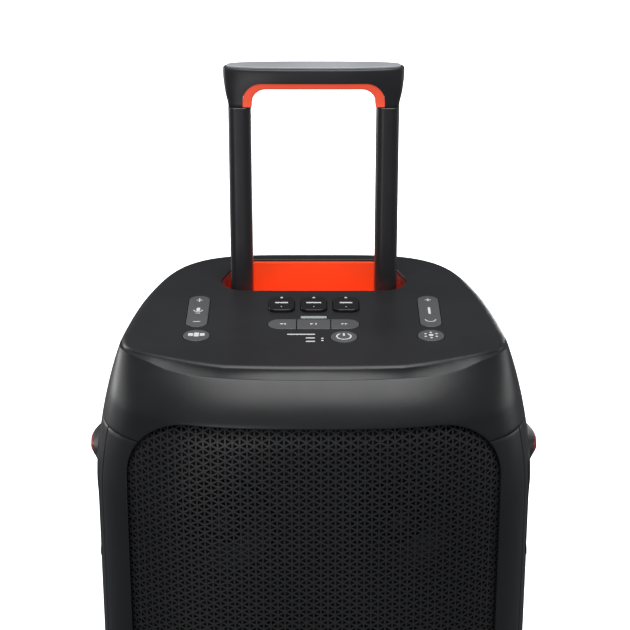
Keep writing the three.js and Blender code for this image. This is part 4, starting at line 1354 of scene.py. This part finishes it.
def tread_drop(turn, across):
    """Depth of the staggered cross grooves at a place round the tyre, on the lane that across is in."""
    place = (turn * TREAD_BLOCKS + (0.5 if across > 0 else 0.0)) % 1.0
    return TREAD_DEPTH * (ease(0.0, 0.05, place) - ease(0.19, 0.24, place)) if place < 0.3 else 0.0


def tread_point(turn, across):
    shoulder = max(0.0, abs(across) - 8.6)
    return WHEEL_R - 0.22 * shoulder ** 1.9 - tread_drop(turn, across), across


def tyre_section(turn):
    """(radius, across) points round the tyre's section at a place round the wheel."""
    lane = (12.0, 10.6, 9.0, 6.0, 3.0, 1.4)
    return [(RIM_R + 0.3, -12.0), (RIM_R + 1.2, -12.9), (44.0, -13.4), (46.6, -13.0),
            *(tread_point(turn, -across) for across in lane),
            (WHEEL_R - TREAD_DEPTH, -1.1), (WHEEL_R - TREAD_DEPTH, 1.1),
            *(tread_point(turn, across) for across in reversed(lane)),
            (46.6, 13.0), (44.0, 13.4), (RIM_R + 1.2, 12.9), (RIM_R + 0.3, 12.0),
            (RIM_R, 11.0), (RIM_R, -11.0)]


def tyre_piece(side, name):
    rings = []
    for block in range(TREAD_BLOCKS):
        for step in (0.0, 0.05, 0.12, 0.19, 0.24, 0.5, 0.55, 0.62, 0.69, 0.74):
            turn = (block + step) / TREAD_BLOCKS
            c, s = math.cos(2 * math.pi * turn), math.sin(2 * math.pi * turn)
            rings.append([(side * (WHEEL_X + across), WHEEL_Y + radius * c, WHEEL_Z + radius * s)
                          for radius, across in tyre_section(turn)])
    return torus_loft(name, rings, TYRE, 28.0)


def hub_piece(side, name):
    inner, outer = WHEEL_X - WHEEL_W / 2, WHEEL_X + WHEEL_W / 2
    profile = [(AXLE_R + 0.2, inner), (13.4, inner), (14.0, inner + 0.6), (14.0, WHEEL_X + 0.2),
               (14.8, WHEEL_X + 1.0), (RIM_R - 6.0, WHEEL_X + 1.0), (RIM_R - 5.0, WHEEL_X),
               (RIM_R - 5.0, inner + 2.6), (RIM_R - 4.4, inner + 2.0), (RIM_R - 0.9, inner + 2.0),
               (RIM_R - GAP, inner + 2.6), (RIM_R - GAP, outer - 2.6), (RIM_R - 0.9, outer - 2.0),
               (RIM_R - 4.4, outer - 2.0), (RIM_R - 5.2, outer - 2.8), (RIM_R - 6.4, WHEEL_X + 7.0),
               (RIM_R - 7.4, WHEEL_X + 6.0), (15.2, WHEEL_X + 6.0), (14.0, WHEEL_X + 7.2), (12.8, outer),
               (11.8, outer + 0.9), (10.4, outer + 1.0), (9.8, outer + 0.5), (0.4, outer + 0.5),
               (0.4, outer - 3.0), (AXLE_R + 0.2, outer - 3.0)]
    hub = lathe(name, profile, along_x(WHEEL_Y, WHEEL_Z, side), BLACK, 96, closed=True)
    windows = []
    for i in range(5):
        turn = 2 * math.pi * (i + 0.25) / 5
        corners = [(radius * math.cos(turn + lean), radius * math.sin(turn + lean), bend)
                   for radius, lean, bend in ((28.4, -0.42, 3.0), (28.4, 0.42, 3.0),
                                              (17.6, 0.3, 2.4), (17.6, -0.3, 2.4))]
        windows.append(prism(rounded_polygon(corners, 5), along_x(WHEEL_Y, WHEEL_Z, side),
                             WHEEL_X - 4.0, WHEEL_X + 10.0))
    cut(hub, join("cutters", windows))
    shade(hub, 32.0)
    return hub


for side, place in SIDES:
    stand_for(tyre_piece(side, f"tyre_{place}_tread"), f"wheel_{place}", "tyre", f"tyre_{place}")
    stand_for(hub_piece(side, f"wheel_hub_{place}_rim"), f"wheel_{place}", "black_plastic",
              f"wheel_hub_{place}")


# ---------- bass port ----------
port_mouth = rear_y(PORT_Z) + 1.5
port_profile = [(PORT_R, 31.0)]
port_profile += [(PORT_R + 6.2 * (1 - math.cos(turn)), port_mouth - 12.0 + 12.0 * math.sin(turn))
                 for turn in arc_steps(8)]
port_profile += [(PORT_R + PORT_RIM - 0.3, port_mouth - 0.15), (PORT_R + PORT_RIM, port_mouth - 0.6),
                 (PORT_R + PORT_RIM, port_mouth - 4.0), (PORT_R + 3.0, port_mouth - 12.0),
                 (PORT_R + 3.0, 30.0), (PORT_R + 0.8, 30.0)]
port = lathe("bass_port_flare", port_profile, along_y(0.0, PORT_Z), BLACK, 96, closed=True)
stand_for(port, "cabinet", "black_plastic", "bass_port")


# ---------- socket bay at the back ----------
HINGE_Y = BAY_FACE_Y - 3.4
HINGE_Z = BAY_Z - BAY_HALF_Z + 3.2
INLET_X = -32.0
BLOCK_X = (4.3, 49.7)
BLOCK_Z = (BAY_Z - 23.7, BAY_Z + 23.7)
JACK_X = 38.0
USB_X = 16.0
SOCKET_ROWS = (BAY_Z - 14.0, BAY_Z + 14.0)


def bay_inside(shrink):
    return centred_rect(0.0, BAY_Z, BAY_HALF_X - shrink, BAY_HALF_Z - shrink, 1.6)


bay_rings = [[(x, BAY_BACK_Y - 3.0, z) for x, z in bay_outline(0.0)]]
for turn in arc_steps(4):
    bay_rings.append([(x, BAY_FACE_Y - 1.4 * (1 - math.sin(turn)), z)
                      for x, z in bay_outline(-1.4 * (1 - math.cos(turn)))])
for shrink, y in ((-0.5, BAY_FACE_Y), (-0.15, BAY_FACE_Y - 0.2), (0.0, BAY_FACE_Y - 0.6),
                  (0.0, BAY_BACK_Y + 1.2), (0.4, BAY_BACK_Y + 0.3), (1.2, BAY_BACK_Y)):
    bay_rings.append([(x, y, z) for x, z in bay_inside(shrink)])
bay = loft("socket_bay_tub", bay_rings, BLACK)
inlet_hole = centred_rect(INLET_X, BAY_Z, 14.0, 11.0, 3.0, 5)
block_hole = rounded_rect((BLOCK_X[0] - GAP, BLOCK_X[1] + GAP), (BLOCK_Z[0] - GAP, BLOCK_Z[1] + GAP), 3.0, 5)
cut(bay, join("cutters", [prism(outline, upright, 80.0, 100.0) for outline in (inlet_hole, block_hole)]))
shade(bay, 32.0)
stand_for(bay, "cabinet", "black_plastic", "socket_bay")

cover_face = HINGE_Y + 1.5
cover_outline = rounded_rect((-BAY_HALF_X + 0.6, BAY_HALF_X - 0.6), (HINGE_Z, BAY_Z + BAY_HALF_Z - 0.5),
                             1.4, 5)
cover = pad("cover", cover_outline, upright, cover_face - 3.0, cover_face, 0.5, RUBBER)
panel = pad("panel", rounded_rect((-46.0, 46.0), (HINGE_Z + 12.0, BAY_Z + 34.0), 5.0, 6), upright,
            cover_face - 1.0, cover_face + 0.6, 0.5, RUBBER)
tab = pad("tab", rounded_rect((-13.0, 13.0), (BAY_Z + 37.6, BAY_Z + 40.4), 1.3, 5), upright,
          cover_face - 1.0, cover_face + 1.6, 0.6, RUBBER)
barrel_profile = [(ON_AXIS, -BAY_HALF_X + 0.6), (2.2, -BAY_HALF_X + 0.6), (2.6, -BAY_HALF_X + 1.0)]
for start, end in ((-40.0, -38.8), (-14.0, -12.8), (12.8, 14.0), (38.8, 40.0)):
    barrel_profile += [(2.6, start), (2.2, start + 0.3), (2.2, end - 0.3), (2.6, end)]
barrel_profile += [(2.6, BAY_HALF_X - 1.0), (2.2, BAY_HALF_X - 0.6), (ON_AXIS, BAY_HALF_X - 0.6)]
barrel = lathe("barrel", barrel_profile, along_x(HINGE_Y, HINGE_Z), RUBBER, 24)
cover = join("socket_cover_flap", [cover, panel, tab, barrel])
shade(cover, 34.0)
stand_for(cover, "socket_cover", "rubber", "socket_cover")

inlet = pad("mains_inlet_body", centred_rect(INLET_X, BAY_Z, 13.7, 10.7, 3.0, 6), upright,
            79.0, BAY_BACK_Y + 2.0, 0.8, BLACK)
cut(inlet, prism(centred_rect(INLET_X, BAY_Z, 9.6, 5.2, 5.15), upright, 82.0, 110.0))
shade(inlet, 32.0)
stand_for(inlet, "cabinet", "black_plastic", "mains_inlet")
pins = join("mains_inlet_pins", [
    lathe("pin", [(ON_AXIS, 80.0), (1.2, 80.0), (1.2, 93.2), (0.9, 93.8), (0.4, 94.0), (ON_AXIS, 94.0)],
          along_y(INLET_X + shift, BAY_Z), STEEL, 24) for shift in (-4.4, 4.4)])
shade(pins, 30.0)
stand_for(pins, "cabinet", "steel")

sockets = pad("socket_block_body", rounded_rect(BLOCK_X, BLOCK_Z, 2.7, 6), upright, 77.0,
              BAY_BACK_Y + 1.2, 0.7, BLACK)
socket_cutters = [prism(circle(JACK_X, z, 3.3, 32), upright, 80.0, 110.0) for z in SOCKET_ROWS]
socket_cutters.append(prism(centred_rect(USB_X, SOCKET_ROWS[0], 6.5, 2.5, 0.8, 4), upright, 84.0, 110.0))
socket_cutters.append(prism(circle(USB_X, SOCKET_ROWS[1], 1.8, 24), upright, 84.0, 110.0))
cut(sockets, join("cutters", socket_cutters))
shade(sockets, 32.0)
stand_for(sockets, "cabinet", "black_plastic", "socket_block")
jack_face = BAY_BACK_Y + 1.2
jack_profile = [(radius, jack_face + rise)
                for radius, rise in ((3.35, -6.0), (3.35, 0.3), (3.7, 0.7), (4.6, 0.7), (5.0, 0.3),
                                     (5.0, -0.4), (3.9, -0.4), (3.9, -6.0))]
jack_rings = join("socket_block_rings", [
    lathe("ring", jack_profile, along_y(JACK_X, z), STEEL, 40, closed=True) for z in SOCKET_ROWS])
shade(jack_rings, 30.0)
stand_for(jack_rings, "cabinet", "steel")


# ---------- drivers behind the grille ----------
BAFFLE_FACE = -150.3
WOOFER_R = 84.0
TWEETER_X = 62.0
TWEETER_Z = 555.0


def behind_baffle(*points):
    """A lathe profile from (radius, depth behind the baffle's face) pairs."""
    return [(radius, BAFFLE_FACE + depth) for radius, depth in points]


for z, place in ((185.0, "lower"), (390.0, "upper")):
    rim_profile = behind_baffle((70.4, -4.0), (82.6, -4.0), (WOOFER_R, -3.0), (WOOFER_R, 0.0), (73.0, 0.0),
                                (43.0, 46.0), (42.0, 74.0), (14.0, 74.0), (14.0, 54.0), (40.0, 54.0),
                                (40.0, 46.0))
    rim = lathe(f"woofer_frame_{place}_rim", rim_profile, along_y(0.0, z), DRIVER, 96, closed=True)
    stand_for(rim, "cabinet", "driver_frame", f"woofer_frame_{place}")
    surround = [(63.3 - 5.1 * math.cos(turn * 2), 0.2 - 5.2 * math.sin(turn * 2))
                for turn in arc_steps(9)[1:]]
    cone_profile = behind_baffle((ON_AXIS, 12.0), (8.0, 13.0), (16.0, 16.5), (22.0, 25.0), (40.0, 13.5),
                                 (57.0, 1.4), (58.2, 0.6), *surround, (68.4, 0.8), (58.0, 4.0), (26.0, 30.0),
                                 (13.4, 32.0), (13.4, 66.0), (ON_AXIS, 66.0))
    cone = lathe(f"woofer_cone_{place}_skin", cone_profile, along_y(0.0, z), CONE, 96)
    stand_for(cone, "cabinet", "cone_paper", f"woofer_cone_{place}")
    ring_profile = behind_baffle((WOOFER_R + 1.0, 0.0), (WOOFER_R + 1.0, -3.6), (WOOFER_R + 2.6, -5.0),
                                 (WOOFER_R + 7.4, -5.0), (WOOFER_R + 9.0, -3.6), (WOOFER_R + 9.0, 0.0))
    light_ring = lathe(f"light_ring_{place}_lens", ring_profile, along_y(0.0, z), RING, 96, closed=True)
    stand_for(light_ring, "cabinet", "clear_plastic", f"light_ring_{place}")
for side, place in SIDES:
    dome = [(12.5 * math.sin(turn), -0.2 - 4.5 * math.cos(turn)) for turn in arc_steps(8)[1:]]
    profile = behind_baffle((ON_AXIS, -4.7), *dome, (13.6, 0.1), (15.0, -0.3), (24.0, -2.1), (33.4, -4.7),
                            (34.6, -4.6), (35.6, -3.3), (36.0, 0.0), (23.5, 0.0), (23.5, 22.3),
                            (ON_AXIS, 22.3))
    tweeter = lathe(f"tweeter_{place}_horn", profile, along_y(side * TWEETER_X, TWEETER_Z), DRIVER, 72)
    stand_for(tweeter, "cabinet", "driver_frame", f"tweeter_{place}")

# ---------- looks of the CAD nodes that stay ----------
SLOT_LOOKS = {"housing": HOUSING, "black_plastic": BLACK, "key_plastic": KEY, "button_grey": BUTTON,
              "plate_grey": PLATE, "clear_plastic": WINDOW, "orange_plastic": ORANGE,
              "grille_metal": GRILLE, "post_metal": POST, "driver_frame": DRIVER, "cone_paper": CONE,
              "rubber": RUBBER, "tyre": TYRE, "steel": STEEL, "heat_sink": SINK, "circuit_board": BOARD,
              "battery": BATTERY}
for part in frame["record"]["subparts"]:
    for slot in frame["nodes"][part["node"]].material_slots:
        slot.material = SLOT_LOOKS[part["material_slot"]]

# ---------- floor, lights and camera ----------
FLOOR_HALF = 15000.0
FLOOR = moulded("floor_paint", (0.86, 0.86, 0.86), 0.7, grain=60.0, relief=0.0001, tint=0.01)
floor_corners = [(u * FLOOR_HALF, v * FLOOR_HALF, 0) for u, v in ((-1, -1), (1, -1), (1, 1), (-1, 1))]
floor = make("floor", floor_corners, [(0, 1, 2, 3)], FLOOR)
# The floor stays out of reflections and bounced light.
floor.visible_glossy = False
floor.visible_diffuse = False


def area_light(name, place, target, size, power):
    data = bpy.data.lights.new(name, "AREA")
    data.shape = "RECTANGLE"
    data.size, data.size_y = size
    data.energy = power
    lamp = bpy.data.objects.new(name, data)
    lamp.location = place
    lamp.rotation_euler = (Vector(target) - Vector(place)).to_track_quat("-Z", "Y").to_euler()
    scene.collection.objects.link(lamp)
    return lamp


world = bpy.data.worlds.new("studio")
world.use_nodes = True
world.node_tree.nodes["Background"].inputs["Color"].default_value = (0.9, 0.93, 1.0, 1.0)
world.node_tree.nodes["Background"].inputs["Strength"].default_value = 0.11
scene.world = world
backdrop = area_light("backdrop_light", (0.0, 3.0, 3.0), (0.0, 3.0, 0.0), (4.0, 4.6), 420.0)
floor_only = bpy.data.collections.new("backdrop_receivers")
floor_only.objects.link(floor)
backdrop.light_linking.receiver_collection = floor_only
area_light("top_light", (0.05, -0.5, 2.35), (0.0, -0.16, 0.65), (1.5, 1.7), 33.0)
area_light("front_light", (-0.5, -2.6, 1.5), (0.0, -0.1, 0.55), (1.6, 1.6), 1.6)
area_light("low_light", (-0.7, -2.3, 0.25), (0.0, -0.18, 0.5), (0.8, 0.5), 4.0)
area_light("rim_left", (-1.15, 0.75, 0.9), (0.0, -0.05, 0.6), (0.45, 1.2), 6.0)
area_light("rim_right", (1.3, 0.35, 0.9), (0.0, -0.05, 0.6), (0.3, 1.2), 0.8)

# Fill light for the back and the sides, which falls on the speaker only.
object_only = bpy.data.collections.new("rear_receivers")
for obj in scene.objects:
    if obj.type == "MESH" and obj != floor:
        object_only.objects.link(obj)
for name, place, power in (("rear_light", (0.5, 2.2, 0.35), 12.0), ("side_fill_left", (-2.0, 0.6, 0.6), 3.0),
                           ("side_fill_right", (2.0, 0.6, 0.6), 3.0)):
    lamp = area_light(name, place, (0.0, 0.1, 0.35), (1.2, 0.7), power)
    lamp.visible_camera = False
    lamp.light_linking.receiver_collection = object_only

# Fitted to the outline of the top face.
FOCAL = 106.57
CAMERA_PLACE = (0.0009, -1.3052, 1.1674)
CAMERA_DOWN = math.radians(21.5)
camera_data = bpy.data.cameras.new("camera")
camera_data.sensor_width = 36.0
camera_data.lens = FOCAL
camera = bpy.data.objects.new("camera", camera_data)
camera.location = CAMERA_PLACE
camera.rotation_euler = (math.pi / 2 - CAMERA_DOWN, 0.0, 0.0)
camera_data.clip_end = 60.0
scene.collection.objects.link(camera)
scene.camera = camera
scene.view_settings.view_transform = "Standard"
